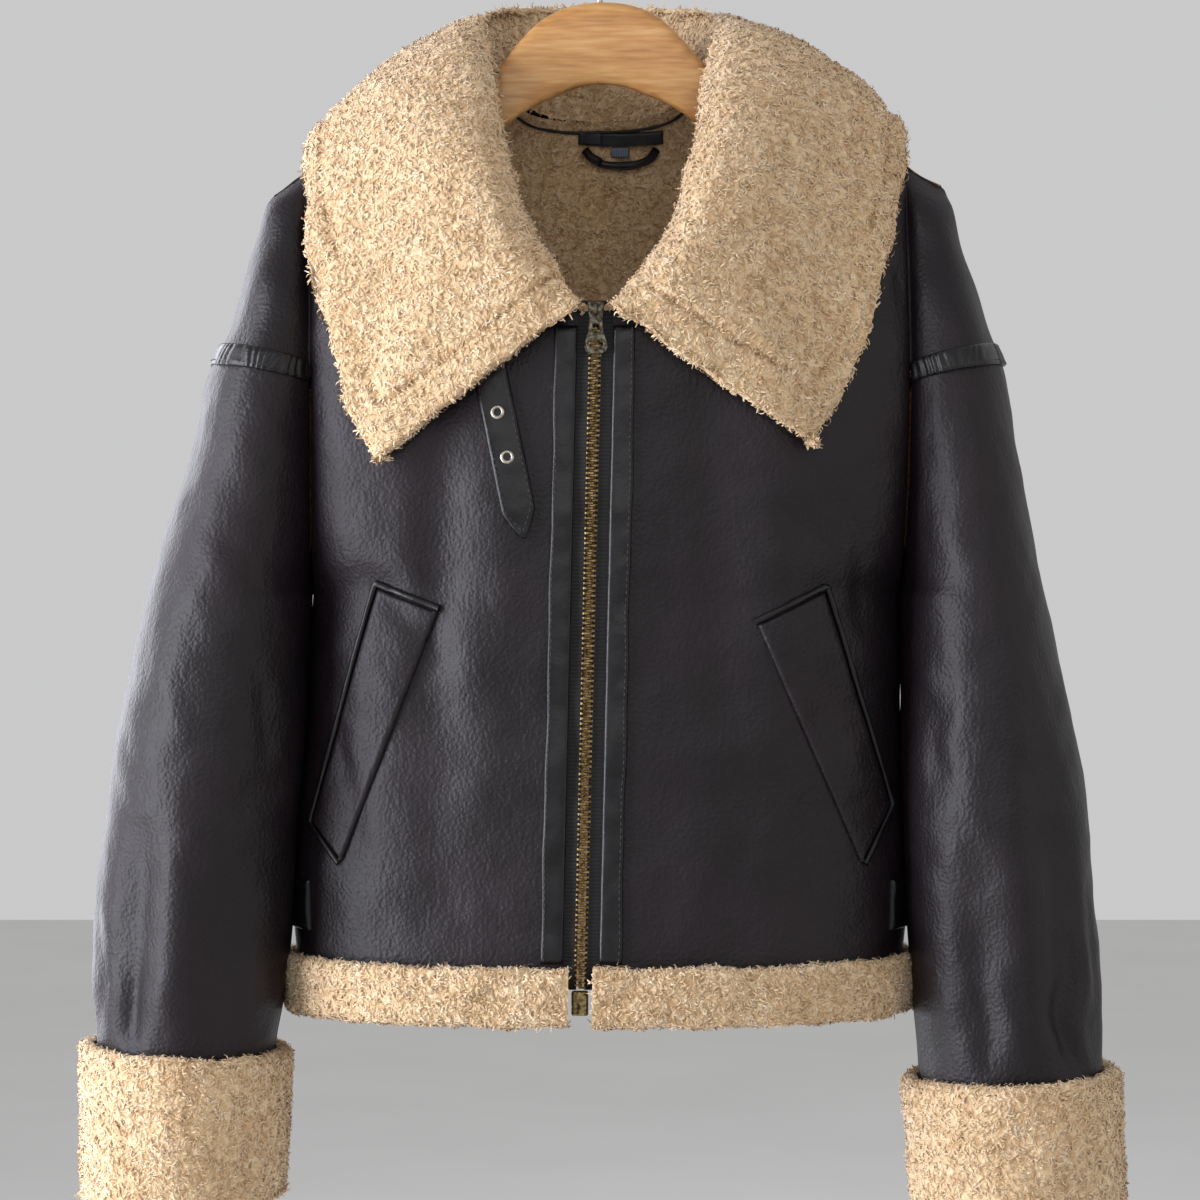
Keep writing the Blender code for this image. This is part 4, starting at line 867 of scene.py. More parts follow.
# Section of the pile side: share of the way from the roll to the edge, and of the thickness under the surface.
PILE_SIDE = ((0.0, 0.26), (0.025, 0.05), (0.08, 0), (0.24, 0), (0.42, 0), (0.60, 0), (0.78, 0))
PILE_SIDE += ((0.92, 0.03), (0.985, 0.25))
EDGE_TURN = ((1.0, 0.55), (0.97, 0.92))
tops, lows = [], []
places = [(-1, u) for u in np.linspace(0, 7, 20)] + [(1, u) for u in np.linspace(7, 0, 20)[1:]]
for side, u in places:
    laid = OVER_TRIM if u < 1.7 else LAID + 0.9
    seam = collar_place(neck, "neck", u, side)
    inward = np.array([-seam[0], 10 - seam[1], 0])
    inward /= np.linalg.norm(inward)
    climb = fall_curve(side, u, 0.0) - seam
    foot = seam + climb / np.linalg.norm(climb) * SEAM_RISE
    stand = STAND_THICK * min(1.0, 0.4 + 0.3 * u)

    def fall_point(t, under):
        top, normal = fall_curve(side, u, t), fall_normal(side, u, t)
        low = top - normal * FALL_THICK
        if t > FOLDED:
            low = clear_of_leather(low, laid)
        thick = (top - low) @ normal
        if t < NEAR_ROLL:
            return top - normal * max(thick, FALL_THICK * 0.3) * under
        return low + normal * max(thick, FALL_THICK * 0.8) * (1 - under)

    pile_side = [foot + inward * stand] + [fall_point(t, under) for t, under in PILE_SIDE + EDGE_TURN]
    skin = [fall_point(0.12, 0.22) if t < 0.2 else fall_point(t, 0.95 if t < 0.3 else 1.0) for t, _ in PILE_SIDE]
    tops.append(pile_side)
    lows.append([foot + inward] + skin + pile_side[-2:])
tops, lows = np.array(tops), np.array(lows)

# Both wings end in a rounded edge, where the pile turns under.
for end, nearby in ((0, 1), (-1, -2)):
    away = unit(tops[end] - tops[nearby])
    turned = [tops[end] * (1 - w) + lows[end] * w + away * 3.0 * math.sin(math.pi * w) for w in (0.2, 0.5, 0.8, 1.0)]
    rounded = np.array(turned[::-1] if end == 0 else turned)
    tops = np.concatenate([rounded, tops]) if end == 0 else np.concatenate([tops, rounded])


def finer(points, times, axis):
    """More points between the ones given along one axis, on smooth curves through them."""
    p = np.moveaxis(points, axis, 0)
    p = np.concatenate([2 * p[:1] - p[1:2], p, 2 * p[-1:] - p[-2:-1]])
    made = []
    for i in range(1, len(p) - 2):
        for k in range(times):
            t = k / times
            a, b, c, d = p[i - 1 : i + 3]
            made.append(
                0.5 * (2 * b + (c - a) * t + (2 * a - 5 * b + 4 * c - d) * t**2 + (3 * b - a - 3 * c + d) * t**3)
            )
    made.append(p[-2])
    return np.moveaxis(np.array(made), 0, axis)


FINE = 6  # how many times finer the collar's grid is than its sections
collar_top = finer(finer(tops, FINE, 0), FINE, 1)
out = normals_of(collar_top)
if (out[:, 40] * (collar_top[:, 40] - COLLAR_CENTRE)).sum() < 0:
    out = -out
steps_down = np.linalg.norm(np.diff(collar_top, axis=1), axis=-1)
edge_column = FINE * 10
from_edge = np.concatenate([np.zeros((len(collar_top), 1)), np.cumsum(steps_down, axis=1)], axis=1)
from_edge = np.abs(from_edge - from_edge[:, edge_column : edge_column + 1])
steps_along = np.linalg.norm(np.diff(collar_top, axis=0), axis=-1)
from_start = np.concatenate([np.zeros((1, collar_top.shape[1])), np.cumsum(steps_along, axis=0)], axis=0)
from_ends = np.minimum(from_start, from_start[-1:] - from_start)
from_ends = np.maximum(from_ends - from_start[FINE * 4], 0)
inside_edge = np.minimum(from_edge, from_ends)
inside_edge = np.where(np.arange(collar_top.shape[1])[None] > edge_column, 0, inside_edge)
on_fall = np.clip((np.arange(collar_top.shape[1])[None] - 14) / 8, 0, 1)
groove = np.exp(-(((inside_edge - GROOVE) / 2.4) ** 2)) * on_fall
lumps = bumpy(collar_top, *CURLS)
collar_relief = 1.5 * lumps - 2.6 * groove + 0.9 * unevenness(collar_top, 34, 21)
collar_base = collar_top + out * (collar_relief - 1.2)[..., None]
# The pile stays clear of the leather that the wings lie on, also under the sunk stitching.
cloth = bmesh.new()
for side, word in SIDES:
    for panel in ("front", "back", "sleeve"):
        cloth.from_mesh(bpy.data.objects[f"{panel}_{word}_leather"].data)
leathers = BVHTree.FromBMesh(cloth)
cloth.free()
for i, k in np.argwhere((on_fall * np.ones((len(collar_base), 1)) > 0.3) & (inside_edge > 7)):
    near, _, _, _ = leathers.find_nearest(Vector(collar_base[i, k] * 0.001), 0.012)
    if near is not None:
        high = (collar_base[i, k] - np.array(near) * 1000) @ out[i, k]
        collar_base[i, k] += out[i, k] * min(max(0.0, 3.0 - high), 5.0)
# Painted light and shade: the pile is lighter on the tops of its lumps, darker in their hollows and darker still in
# the groove of the sunk stitching.
collar_tone_and_shade = 0.46 + 0.20 * lumps - 0.25 * groove
collar = piece_from("collar_pile", [collar_base], pile, tone=collar_tone_and_shade)
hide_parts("collar")
middle = len(collar_base) // 2
for word, half in (("left", slice(0, middle + 1)), ("right", slice(middle, None))):
    wing, ways, short = collar_base[half], out[half], 0.55 * groove[half]
    locks(f"collar_locks_{word}", wing, ways, 22500, 5.2, 0.9, 31, pile, short=short, lift=-0.3)
under = finer(finer(lows[:, 4:], 3, 0), 2, 1)
collar_skin = piece_from("collar_leather", [under], leather)

# ---------------------------------------------------------------- turned-up cuffs and pile hem
# The sheepskin is turned up 100 mm at the cuffs, and its pile edge shows round the hem. The pile stands off the
# leather at the turned edge, and its cut edge is ragged.

TURNED = table(
    "off height top",
    (1.2, 1.0, 1),
    (3.5, 0.0, 1),
    (8.0, 0.5, 1),
    (11.5, 4.0, 1),
    (12.5, 14.0, 1),
    (12.5, 12.0, 0),
    (11.0, 4.0, 0),
    (7.0, 0.0, 0),
    (-1.0, 0.0, 0),
    (-4.8, 3.0, 0),
    (-4.8, 11.7, 0),
)
CUFF = {-1: (-749.0, -848.0), 1: (-766.0, -866.0)}
CUFF_SLANT = 3.0
HEM_TOP, HEM_LOW, HEM_END = -692.0, -730.0, 7.4
CUFF_MIDDLE, CUFF_SHOWN, HEM_MIDDLE, HEM_SHOWN = 22, 46, 18, 37  # rows from the top edge down and round


def turned_heights(top, low):
    return np.array([top - row["height"] if row["top"] else low + row["height"] for row in TURNED])


offs = np.array([row["off"] for row in TURNED])
for side, word in SIDES:
    top, low = CUFF[side]
    share = np.linspace(0, 1, 121)[:-1]
    slant = -CUFF_SLANT * np.cos(2 * np.pi * share)
    sections = []
    for off, height, row in zip(offs, turned_heights(top, low), TURNED):
        heights = height + (slant if row["top"] else 0) + 0 * share
        points = np.array([sleeve_at(side, s, h, off)[0] for s, h in zip(share, heights)])
        sections.append(points)
    grid = finer(np.array(sections), 5, 0)
    grid = np.concatenate([grid, grid[:, :1]], axis=1)
    centre = grid[:, :-1].mean(axis=(0, 1)) * (1, 1, 0)
    out = normals_of(grid)
    if (out[CUFF_MIDDLE] * (grid[CUFF_MIDDLE] * (1, 1, 0) - centre)).sum() < 0:
        out = -out
    lumps = bumpy(grid, *CURLS)
    base = grid + out * (1.2 * lumps - 1.2 + 0.8 * unevenness(grid, 30, 41))[..., None]
    # Painted light and shade: the pile's tone is lighter on the tops of its lumps and darker in their hollows.
    cuff = piece_from(f"cuff_{word}_pile", [base], pile, tone=0.46 + 0.20 * lumps, weld=0.2)
    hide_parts(f"cuff_{word}")
    shown = slice(0, CUFF_SHOWN)
    cuff_locks = locks(f"cuff_{word}_locks", base[shown], out[shown], 13500, 5.2, 0.9, 43 + side, pile, lift=-0.3)


def across(side, facing, height):
    """Places from the middle of the body to its side seam at one height."""
    share = 1 - (1 - np.linspace(0, 1, 45)) ** 1.5
    neck_share = NECK_HALF / half_width(side, SHOULDER)
    start = zip_x(height) + side * FRONT_EDGE if facing == FRONT else 0.0
    return side * half_width(side, height) * share + start * np.maximum(0, 1 - share / neck_share)


def body_loop(z):
    """The body's outline at one height, from the zip round the left side, the back and the right to the zip."""
    halves = []
    for side in (-1, 1):
        x = across(side, FRONT, z)[:-1]
        front = np.stack([x, body_y(x, z, FRONT), z + 0 * x], axis=-1)
        start = np.array([[zip_x(z) + side * HEM_END, front[0, 1], z]])
        seam = np.array([[side * float(half_width(side, z)), float(read(BODY, "z", z, "middle")), z]])
        x = across(side, BACK, z)[:-1]
        back = np.stack([x, body_y(x, z, BACK), z + 0 * x], axis=-1)
        halves.append((np.concatenate([start, front, seam]), back))
    (left, left_back), (right, right_back) = halves
    return np.concatenate([left, left_back[:0:-1], right_back, right[::-1]])


def distances(line):
    """How far each point of a line is from its start."""
    return np.concatenate([[0], np.cumsum(np.linalg.norm(np.diff(line, axis=0), axis=-1))])


def values_at(at, run, line):
    """A line's points, or directions given at them, at these distances along its run."""
    return np.stack([np.interp(at, run, column) for column in line.T], axis=-1)


HEM_POINTS = 430
hem_rows = []
for off, height in zip(offs, turned_heights(HEM_TOP, HEM_LOW)):
    line = body_loop(max(height, HEM))
    run = distances(line)
    loop = values_at(np.linspace(0, run[-1], HEM_POINTS), run, line)
    along = np.gradient(loop, axis=0)
    sideways = -unit(np.stack([along[:, 1], -along[:, 0], 0 * along[:, 0]], axis=-1))
    hem_rows.append(loop * (1, 1, 0) + sideways * off + (0, 0, height))
hem_grid = finer(np.array(hem_rows), 4, 0)
out = normals_of(hem_grid)
outside = (HEM_MIDDLE, HEM_POINTS // 4)
if out[outside] @ (hem_grid[outside] * (1, 1, 0)) < 0:
    out = -out
lumps = bumpy(hem_grid, *CURLS)
hem_base = hem_grid + out * (1.2 * lumps - 1.2 + 0.8 * unevenness(hem_grid, 30, 51))[..., None]
seams = [int(np.argmin(hem_grid[HEM_MIDDLE, :, 0])), int(np.argmax(hem_grid[HEM_MIDDLE, :, 0]))]
lengths = (
    # name, part of the loop, number of locks, flat length
    ("hem_front_left", slice(0, seams[0] + 1), 6500, 0.205),
    ("hem_back", slice(seams[0], seams[1] + 1), 8500, 0.420),
    ("hem_front_right", slice(seams[1], None), 6500, 0.225),
)
for name, part, number, wide in lengths:
    # Painted light and shade: the pile's tone is lighter on the tops of its lumps and darker in their hollows.
    piece = piece_from(name + "_pile", [hem_base[:, part]], pile, tone=0.46 + 0.20 * lumps[:, part])
    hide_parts(name)
    shown = (slice(0, HEM_SHOWN), part)
    hem_locks = locks(name + "_locks", hem_base[shown], out[shown], number, 4.8, 0.85, 53, pile, lift=-0.3)

# ---------------------------------------------------------------- bands over the armhole seams
# A strip of smooth black nappa gathered over each dropped seam. Its thread draws it into small puckers, and
# its two edges are folded under.

# Corrected-grain nappa with a glazed finish: blacker and glossier than the sheepskin, with a faint fine grain.
nappa, tree, shader, place = new_finish("Glazed nappa, black")
soft = add(tree, "TexNoise", {"Vector": place, "Scale": 60.0, "Detail": 4.0})
tint = add(tree, "ValToRGB", {"Fac": soft.outputs["Fac"]}, stops=((0.3, "#0c0a0c"), (0.7, "#141114")))
gloss = {"Value": soft.outputs["Fac"], "From Min": 0.3, "From Max": 0.7, "To Min": 0.30, "To Max": 0.42}
shine = add(tree, "MapRange", gloss)
pores = add(tree, "TexVoronoi", {"Vector": place, "Scale": 1 / 0.0014}, feature="SMOOTH_F1")
creased = add(tree, "TexNoise", {"Vector": place, "Scale": 190.0, "Detail": 3.0})
folds = add(tree, "Bump", {"Height": creased.outputs["Fac"], "Strength": 0.4, "Distance": 0.0008})
fine = {"Height": pores.outputs["Distance"], "Strength": 0.2, "Distance": 0.0003}
skin = add(tree, "Bump", fine | {"Normal": folds.outputs["Normal"]})
surface = {
    "Base Color": tint.outputs["Color"],
    "Roughness": shine.outputs["Result"],
    "Normal": skin.outputs["Normal"],
    "IOR": 1.5,
    "Specular IOR Level": 0.35,
}
fill(tree, shader, surface)

# Bonded polyester thread, dyed black. Each stitch is 3 mm long, and its gloss picks it out.
thread, tree, shader, place = new_finish("Bonded polyester thread, black")
twist = add(tree, "TexWave", {"Vector": place, "Scale": 300.0}, bands_direction="DIAGONAL")
tint = add(tree, "ValToRGB", {"Fac": twist.outputs["Fac"]}, stops=((0.2, "#17151a"), (0.8, "#2b282c")))
fill(tree, shader, {"Base Color": tint.outputs["Color"], "Roughness": 0.5})


def full_turn(count):
    """Angles evenly round a circle."""
    return np.arange(count) * 2 * np.pi / count


def stitches(name, path, out, pitch=4.2, long=3.0, thick=0.55, sides=5):
    """A row of stitches along a line of points: each a short rounded length of thread pulled into the leather."""
    run = distances(path)
    starts = np.arange(1.0, run[-1] - long, pitch)
    verts, faces = [], []
    for start in starts:
        first = len(verts)
        for share, high, wide in ((0.0, -0.35, 0.5), (0.2, 0.16, 1.0), (0.8, 0.16, 1.0), (1.0, -0.35, 0.5)):
            at = start + long * share
            spot, up = values_at(at, run, path), unit(values_at(at, run, out))
            beside = unit(np.cross(values_at(at + 0.5, run, path) - spot, up))
            radius = thick * wide / 2
            for angle in full_turn(sides):
                verts.append(spot + up * (high + math.cos(angle) * radius) + beside * math.sin(angle) * radius)
        faces += (faces_of(4, sides, first, round_columns=True)).tolist()
    mesh = bpy.data.meshes.new(name)
    mesh.from_pydata([tuple(v * 0.001) for v in verts], [], faces)
    mesh.shade_smooth()
    riding(name, mesh, thread)


STRIP, STRIP_THICK = 6.5, 2.2
for side, word in SIDES:
    shares = np.linspace(0, 1, 241)[5:-5]
    down = np.array([-1.0, -1.0, -0.86, -0.5, -0.15, 0.2, 0.55, 0.86, 1.0, 1.0])
    high = np.array([-0.9, 0.5, 1.0, 0.92, 1.0, 1.05, 1.0, 1.0, 0.5, -0.9])
    rows = []
    for share_down, share_high in zip(down, high):
        row, _, out = sleeve_grid(side, shares, np.array([ARMHOLE - 1.5 + STRIP * share_down]))
        pucker = np.abs(np.sin(shares * 2 * np.pi * 15 + 2.6 * unevenness(row[0], 26, 61))) ** 0.8
        lift = 0.6 + STRIP_THICK * share_high * (0.62 + 0.5 * pucker) + 0.5 * unevenness(row[0], 26, 62)
        rows.append(row[0] + out[0] * lift[:, None])
    band = piece_from(f"armhole_band_{word}", [np.array(rows)], nappa)
    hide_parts(f"armhole_strip_{word}")
    seam_row, _, out = sleeve_grid(side, shares, np.array([ARMHOLE - 1.5 - STRIP * 0.55]))
    stitches(f"armhole_stitches_{word}", seam_row[0] + out[0] * 2.3, out[0])

# ---------------------------------------------------------------- plackets beside the zip
# Two straight strips of nappa, folded and sewn flat on the fronts beside the zip's tapes, with a row of
# stitching inside their outer edges.

front_mesh = bmesh.new()
for word in ("left", "right"):
    front_mesh.from_mesh(bpy.data.objects[f"front_{word}_leather"].data)
fronts = BVHTree.FromBMesh(front_mesh)
front_mesh.free()


def on_fronts(spots):
    """Points of the fronts' leather under a grid of x, z spots, and the way out of it."""
    points, out = [], []
    for x, z in np.asarray(spots).reshape(-1, 2):
        place, normal, _, _ = fronts.ray_cast(Vector((x, -400, z)) * 0.001, Vector((0, 1, 0)))
        if place is None:
            place, normal, _, _ = fronts.find_nearest(Vector((x, -95, z)) * 0.001)
        normal = normal if normal.y < 0 else -normal
        points.append(np.array(place) * 1000)
        out.append(np.array(normal))
    shape = np.asarray(spots).shape[:-1] + (3,)
    out = np.array(out).reshape(shape)
    if out.ndim == 3:
        out[1:-1] = (out[:-2] + out[1:-1] + out[2:]) / 3
    return np.array(points).reshape(shape), unit(out)


def rimmed(points, out, high, sunk=0.8):
    """The points moved out by their heights, with a rim all round that goes down into what they lie on."""
    points, out = (np.pad(grid, ((1, 1), (1, 1), (0, 0)), "edge") for grid in (points, out))
    return points + out * np.pad(high, 1, constant_values=-sunk)[..., None]


def laid_patch(name, spots, thick, finish, rough=0.25):
    """A flat piece sewn on the fronts over a grid of x, z spots, with soft edges that go down to the leather."""
    points, out = on_fronts(spots)
    high = thick + rough * unevenness(points, 17, 71)
    high[[0, -1], :] = thick * 0.55
    high[:, [0, -1]] = thick * 0.55
    return piece_from(name, [rimmed(points, out, high)], finish)


def close_ends(count):
    """Shares from 0 to 1 with an extra one close to each end."""
    inner = np.linspace(0, 1, count)
    return np.concatenate([[0, inner[1] * 0.4], inner[1:-1], [1 - inner[1] * 0.4, 1]])


PLACKET_NEAR, PLACKET_FAR, PLACKET_THICK = 11.6, 25.0, 2.9
for side, word in SIDES:
    z = np.linspace(-296, HEM_TOP + 1.5, 150)
    across_strip = close_ends(7)
    wave = 0.35 * np.sin(z / 23.0) + 0.25 * np.sin(z / 9.0 + side)
    near = zip_x(z) + side * PLACKET_NEAR
    far = zip_x(z) + side * PLACKET_FAR + wave
    x = near[:, None] + (far - near)[:, None] * across_strip[None]
    spots = np.stack([x, z[:, None] + 0 * x], axis=-1)
    placket = laid_patch(f"placket_{word}_nappa", spots, PLACKET_THICK, nappa)
    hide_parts(f"placket_{word}")
    line = np.stack([far - side * 2.0, z], axis=-1)
    path, out = on_fronts(line)
    stitches(f"placket_stitches_{word}", path + out * PLACKET_THICK, out)

# ---------------------------------------------------------------- zip: tapes, teeth, slider and pull
# A size 8 metal zip with separate teeth clamped on woven polyester tapes, closed over its whole length. The
# slider sits at the top under the collar's wings, and the retaining box closes the bottom.

# Polyester zip tape, woven in a twill: matt black, with ribs of 0.8 mm. They are drawn at 2.4 mm, because a wave
# texture's bands are twice as wide as this scale asks for.
tape, tree, shader, place = new_finish("Woven polyester tape, black")
ribs = add(tree, "TexWave", {"Vector": place, "Scale": 1 / 0.0012 / 6.28}, bands_direction="Z")
tint = add(tree, "ValToRGB", {"Fac": ribs.outputs["Fac"]}, stops=((0.1, "#0d0c0d"), (0.9, "#1d1c1d")))
weave = add(tree, "Bump", {"Height": ribs.outputs["Fac"], "Strength": 0.5, "Distance": 0.0004})
fill(tree, shader, {"Base Color": tint.outputs["Color"], "Normal": weave.outputs["Normal"], "Roughness": 0.85})

# Brass plated and tumbled to an antique finish: dull gold on the worn faces, brown-black in the recesses.
brass, tree, shader, place = new_finish("Antiqued brass")
worn = add(tree, "TexNoise", {"Vector": place, "Scale": 420.0, "Detail": 4.0})
tint = add(
    tree,
    "ValToRGB",
    {"Fac": worn.outputs["Fac"]},
    stops=((0.34, "#3a2e1c"), (0.66, "#a8946a"), (0.50, "#7c6845")),
)
gloss = {"Value": worn.outputs["Fac"], "From Min": 0.3, "From Max": 0.7, "To Min": 0.55, "To Max": 0.38}
dull = add(tree, "MapRange", gloss)
scratched = add(tree, "Bump", {"Height": worn.outputs["Fac"], "Strength": 0.25, "Distance": 0.0002})
surface = {
    "Base Color": tint.outputs["Color"],
    "Metallic": 1.0,
    "Roughness": dull.outputs["Result"],
    "Normal": scratched.outputs["Normal"],
}
fill(tree, shader, surface)

# The slider and its pull, plated darker: gunmetal that is rubbed to grey on the edges.
gunmetal, tree, shader, place = new_finish("Rubbed gunmetal plate")
rubbed = add(tree, "TexNoise", {"Vector": place, "Scale": 380.0, "Detail": 4.0})
greys = ((0.35, "#2b2824"), (0.68, "#857d6c"), (0.5, "#544e43"))
tint = add(tree, "ValToRGB", {"Fac": rubbed.outputs["Fac"]}, stops=greys)
pitted = add(tree, "Bump", {"Height": rubbed.outputs["Fac"], "Strength": 0.2, "Distance": 0.0002})
surface = {
    "Base Color": tint.outputs["Color"],
    "Metallic": 1.0,
    "Roughness": 0.38,
    "Normal": pitted.outputs["Normal"],
}
fill(tree, shader, surface)

SLIDER_TOP, SLIDER_LOW, CHAIN_LOW = -281.0, -295.5, -706.5
TOOTH_PITCH = 3.1
# Outline of one tooth seen from the front: off the centre line towards its tape, and height.
TOOTH = ((3.9, -0.72), (2.2, -0.72), (1.2, -0.5), (-0.7, -0.6), (-1.2, -0.3))
TOOTH_LAYERS = ((-0.6, 0.80), (-0.25, 1.0), (2.45, 1.0), (2.8, 0.80))


def zip_front(z):
    return body_y(zip_x(z), z, FRONT)


outline = np.array(list(TOOTH) + [(x, -z) for x, z in reversed(TOOTH)])
for side, word in SIDES:
    z = np.concatenate([np.linspace(SLIDER_TOP + 1, SLIDER_LOW, 8), np.linspace(SLIDER_LOW - 1, CHAIN_LOW, 120)])
    near = np.where(z > SLIDER_LOW - 2, 0.1, 2.4)[:, None]  # behind the slider the two tapes meet
    off = side * np.concatenate([near, 0 * near + 4.4, 0 * near + 5.2, 0 * near + 8.0, 0 * near + 12.6], axis=1)
    depth = np.array([1.3, 0.7, 1.1, 1.3, 1.6])
    x = zip_x(z)[:, None] + off
    y = zip_front(z)[:, None] + depth[None] + 0.12 * np.sin(z / 4.1)[:, None]
    tapes = piece_from(f"zip_tape_{word}_woven", [np.stack([x, y, z[:, None] + 0 * x], axis=-1)], tape)
    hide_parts(f"zip_tape_{word}")
    verts, faces = [], []
    heights = np.arange(SLIDER_LOW - 2.0 - (TOOTH_PITCH / 2 if side > 0 else 0), CHAIN_LOW + 0.5, -TOOTH_PITCH)
    for z in heights:
        first = len(verts)
        for depth, share in TOOTH_LAYERS:
            for off, up in outline:
                verts.append((float(zip_x(z)) + side * off * share, float(zip_front(z)) + depth, z + up * share))
        count = len(outline)
        for layer in range(len(TOOTH_LAYERS) - 1):
            for k in range(count):
                a, b = first + layer * count + k, first + layer * count + (k + 1) % count
                faces.append((a, b, b + count, a + count))
        faces.append(tuple(range(first, first + count)))
        faces.append(tuple(range(first + 3 * count, first + 4 * count))[::-1])
    mesh = bpy.data.meshes.new(f"zip_teeth_{word}")
    mesh.from_pydata((np.array(verts) * 0.001).tolist(), [], faces)
    teeth = riding(f"zip_teeth_{word}", mesh, brass)
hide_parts("zip_chain")

for node in ("zip_bottom_box", "zip_pull_tab", "zip_slider"):
    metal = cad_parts[node]
    metal.data.materials.clear()
    metal.data.materials.append(brass if node == "zip_bottom_box" else gunmetal)
    edges = metal.modifiers.new("Tumbled edges", "BEVEL")
    edges.width = 0.00022
    edges.segments = 2
    edges.limit_method = "ANGLE"

# The flared end of the pull has a raised rim round its hole.
tab_low, tab_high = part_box("zip_pull_tab")
middle_x = (tab_low.x + tab_high.x) / 2 * 1000
face_y = tab_low.y * 1000
RIM_RADIUS = 0.55
PULL_EYE = -286.0  # the height of the pull's eye on the slider's bridge
rim_z = PULL_EYE - 21.6
turns = full_turn(40)
ring = []
for k in full_turn(8):
    wide, tall = 5.5 + RIM_RADIUS * math.cos(k), 3.7 + RIM_RADIUS * math.cos(k)
    y = face_y + 0.15 - RIM_RADIUS * math.sin(k) + 0 * turns
    ring.append(np.stack([middle_x + wide * np.sin(turns), y, rim_z + tall * np.cos(turns)], -1))
rim = piece_from("zip_pull_rim", [np.array(ring)], gunmetal, "pull_tab", closed=(True, True))

# ---------------------------------------------------------------- slanted pockets
# A welt of the sheepskin closes each pocket. Nappa piping frames its top, its outer side and its foot, with a
# row of stitching inside it, and the pocket's mouth has a rolled nappa edge along the inner side.

POCKETS = {
    -1: table("x z", (-101, -474), (-139, -459), (-181, -607), (-162, -630)),
    1: table("x z", (98, -482), (140, -461), (183, -596), (164, -631)),
}
WELT_THICK, PIPING = 3.2, 2.0


def offset_path(path, off):
    """The path moved sideways in its plane, mitred at its corners. off is positive to the left of its run."""
    lefts = [np.array([-(b - a)[1], (b - a)[0]]) / np.linalg.norm(b - a) for a, b in zip(path, path[1:])]
    moved = [path[0] + lefts[0] * off]
    for point, one, two in zip(path[1:-1], lefts, lefts[1:]):
        moved.append(point + (one + two) * off / (1 + one @ two))
    return moved + [path[-1] + lefts[-1] * off]


def along_path(corners, gap):
    """Points an even gap apart along straight runs between corners."""
    corners = np.array(corners)
    run = distances(corners)
    return values_at(np.linspace(0, run[-1], int(run[-1] / gap) + 1), run, corners)


def laid_tube(name, path, radius, finish, lift, soft=0.0, sewn=True):
    """A round piping along a line of points on the leather, with the way out of it at each. A sewn one is a strip
    folded round a cord: it is open underneath, where its two edges go into the seam."""
    points, out = path
    beside = unit(np.cross(np.gradient(points, axis=0), out))
    size = radius * (1 + soft * unevenness(points, 12, 81))[:, None]
    turns = np.linspace(-0.5 * np.pi + 0.12, 1.5 * np.pi - 0.12, 12) if sewn else full_turn(10)
    rings = [points + out * lift + beside * math.cos(a) * size + out * math.sin(a) * size for a in turns]
    return piece_from(name, [np.array(rings)], finish, closed=(not sewn, False))


for side, word in SIDES:
    top_in, top_out, low_out, low_in = [np.array([row["x"], row["z"]], float) for row in POCKETS[side]]
    down, over = close_ends(60)[:, None, None], close_ends(12)[None, :, None]
    inner = top_in + (low_in - top_in) * down
    outer = top_out + (low_out - top_out) * down
    spots = inner + (outer - inner) * over
    welt = laid_patch(f"pocket_welt_{word}_leather", spots, WELT_THICK, leather)
    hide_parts(f"pocket_welt_{word}")
    framed = offset_path([top_in, top_out, low_out, low_in], side * (PIPING + 0.8))
    path = on_fronts(along_path(framed, 2.4))
    piping = laid_tube(f"pocket_piping_{word}_nappa", path, PIPING, nappa, 1.0, soft=0.12)
    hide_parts(f"pocket_piping_{word}")
    inset = offset_path([top_in, top_out, low_out, low_in], -side * 4.6)
    path, out = on_fronts(along_path(inset, 2.0))
    stitches(f"pocket_stitches_{word}", path + out * (WELT_THICK - 0.15), out, thick=0.45)
    mouth = offset_path([low_in, top_in], -side * 1.5)
    path = on_fronts(along_path(mouth, 2.4))
    edge = laid_tube(f"pocket_edge_{word}", path, 1.3, nappa, 0.9, soft=0.15)

# ---------------------------------------------------------------- throat strap and its eyelets
# A pointed strap of nappa hangs out from under the left wing. It is folded and stitched round its edge and has
# two small plated eyelets.

STRAP_TOP, STRAP_TIP, STRAP_HALF, STRAP_THICK = np.array([-69.0, -320.0]), np.array([-47.0, -428.0]), 10.5, 3.4
along = (STRAP_TIP - STRAP_TOP) / np.linalg.norm(STRAP_TIP - STRAP_TOP)
sideways = np.array([-along[1], along[0]])
down = np.concatenate([[0, 0.01], np.linspace(0.03, 0.84, 34), np.linspace(0.86, 0.985, 9), [1.0]])
half = np.where(down < 0.84, 1.0, np.interp(down, (0.84, 0.92, 1.0), (1.0, 0.62, 0.06)))
over = close_ends(8) * 2 - 1
spots = STRAP_TOP + (STRAP_TIP - STRAP_TOP) * down[:, None, None]
spots = spots + sideways * (STRAP_HALF * half)[:, None, None] * over[None, :, None]
strap = laid_patch("throat_strap_nappa", spots, STRAP_THICK, nappa, rough=0.35)
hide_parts("throat_strap")
inset, shoulder = sideways * (STRAP_HALF - 2.2), STRAP_TOP + (STRAP_TIP - STRAP_TOP) * 0.83
line = [STRAP_TOP + inset, shoulder + inset, STRAP_TIP - along * 4.0, shoulder - inset, STRAP_TOP - inset]
path, out = on_fronts(along_path(line, 2.0))
stitches("throat_strap_stitches", path + out * (STRAP_THICK + 0.1), out)

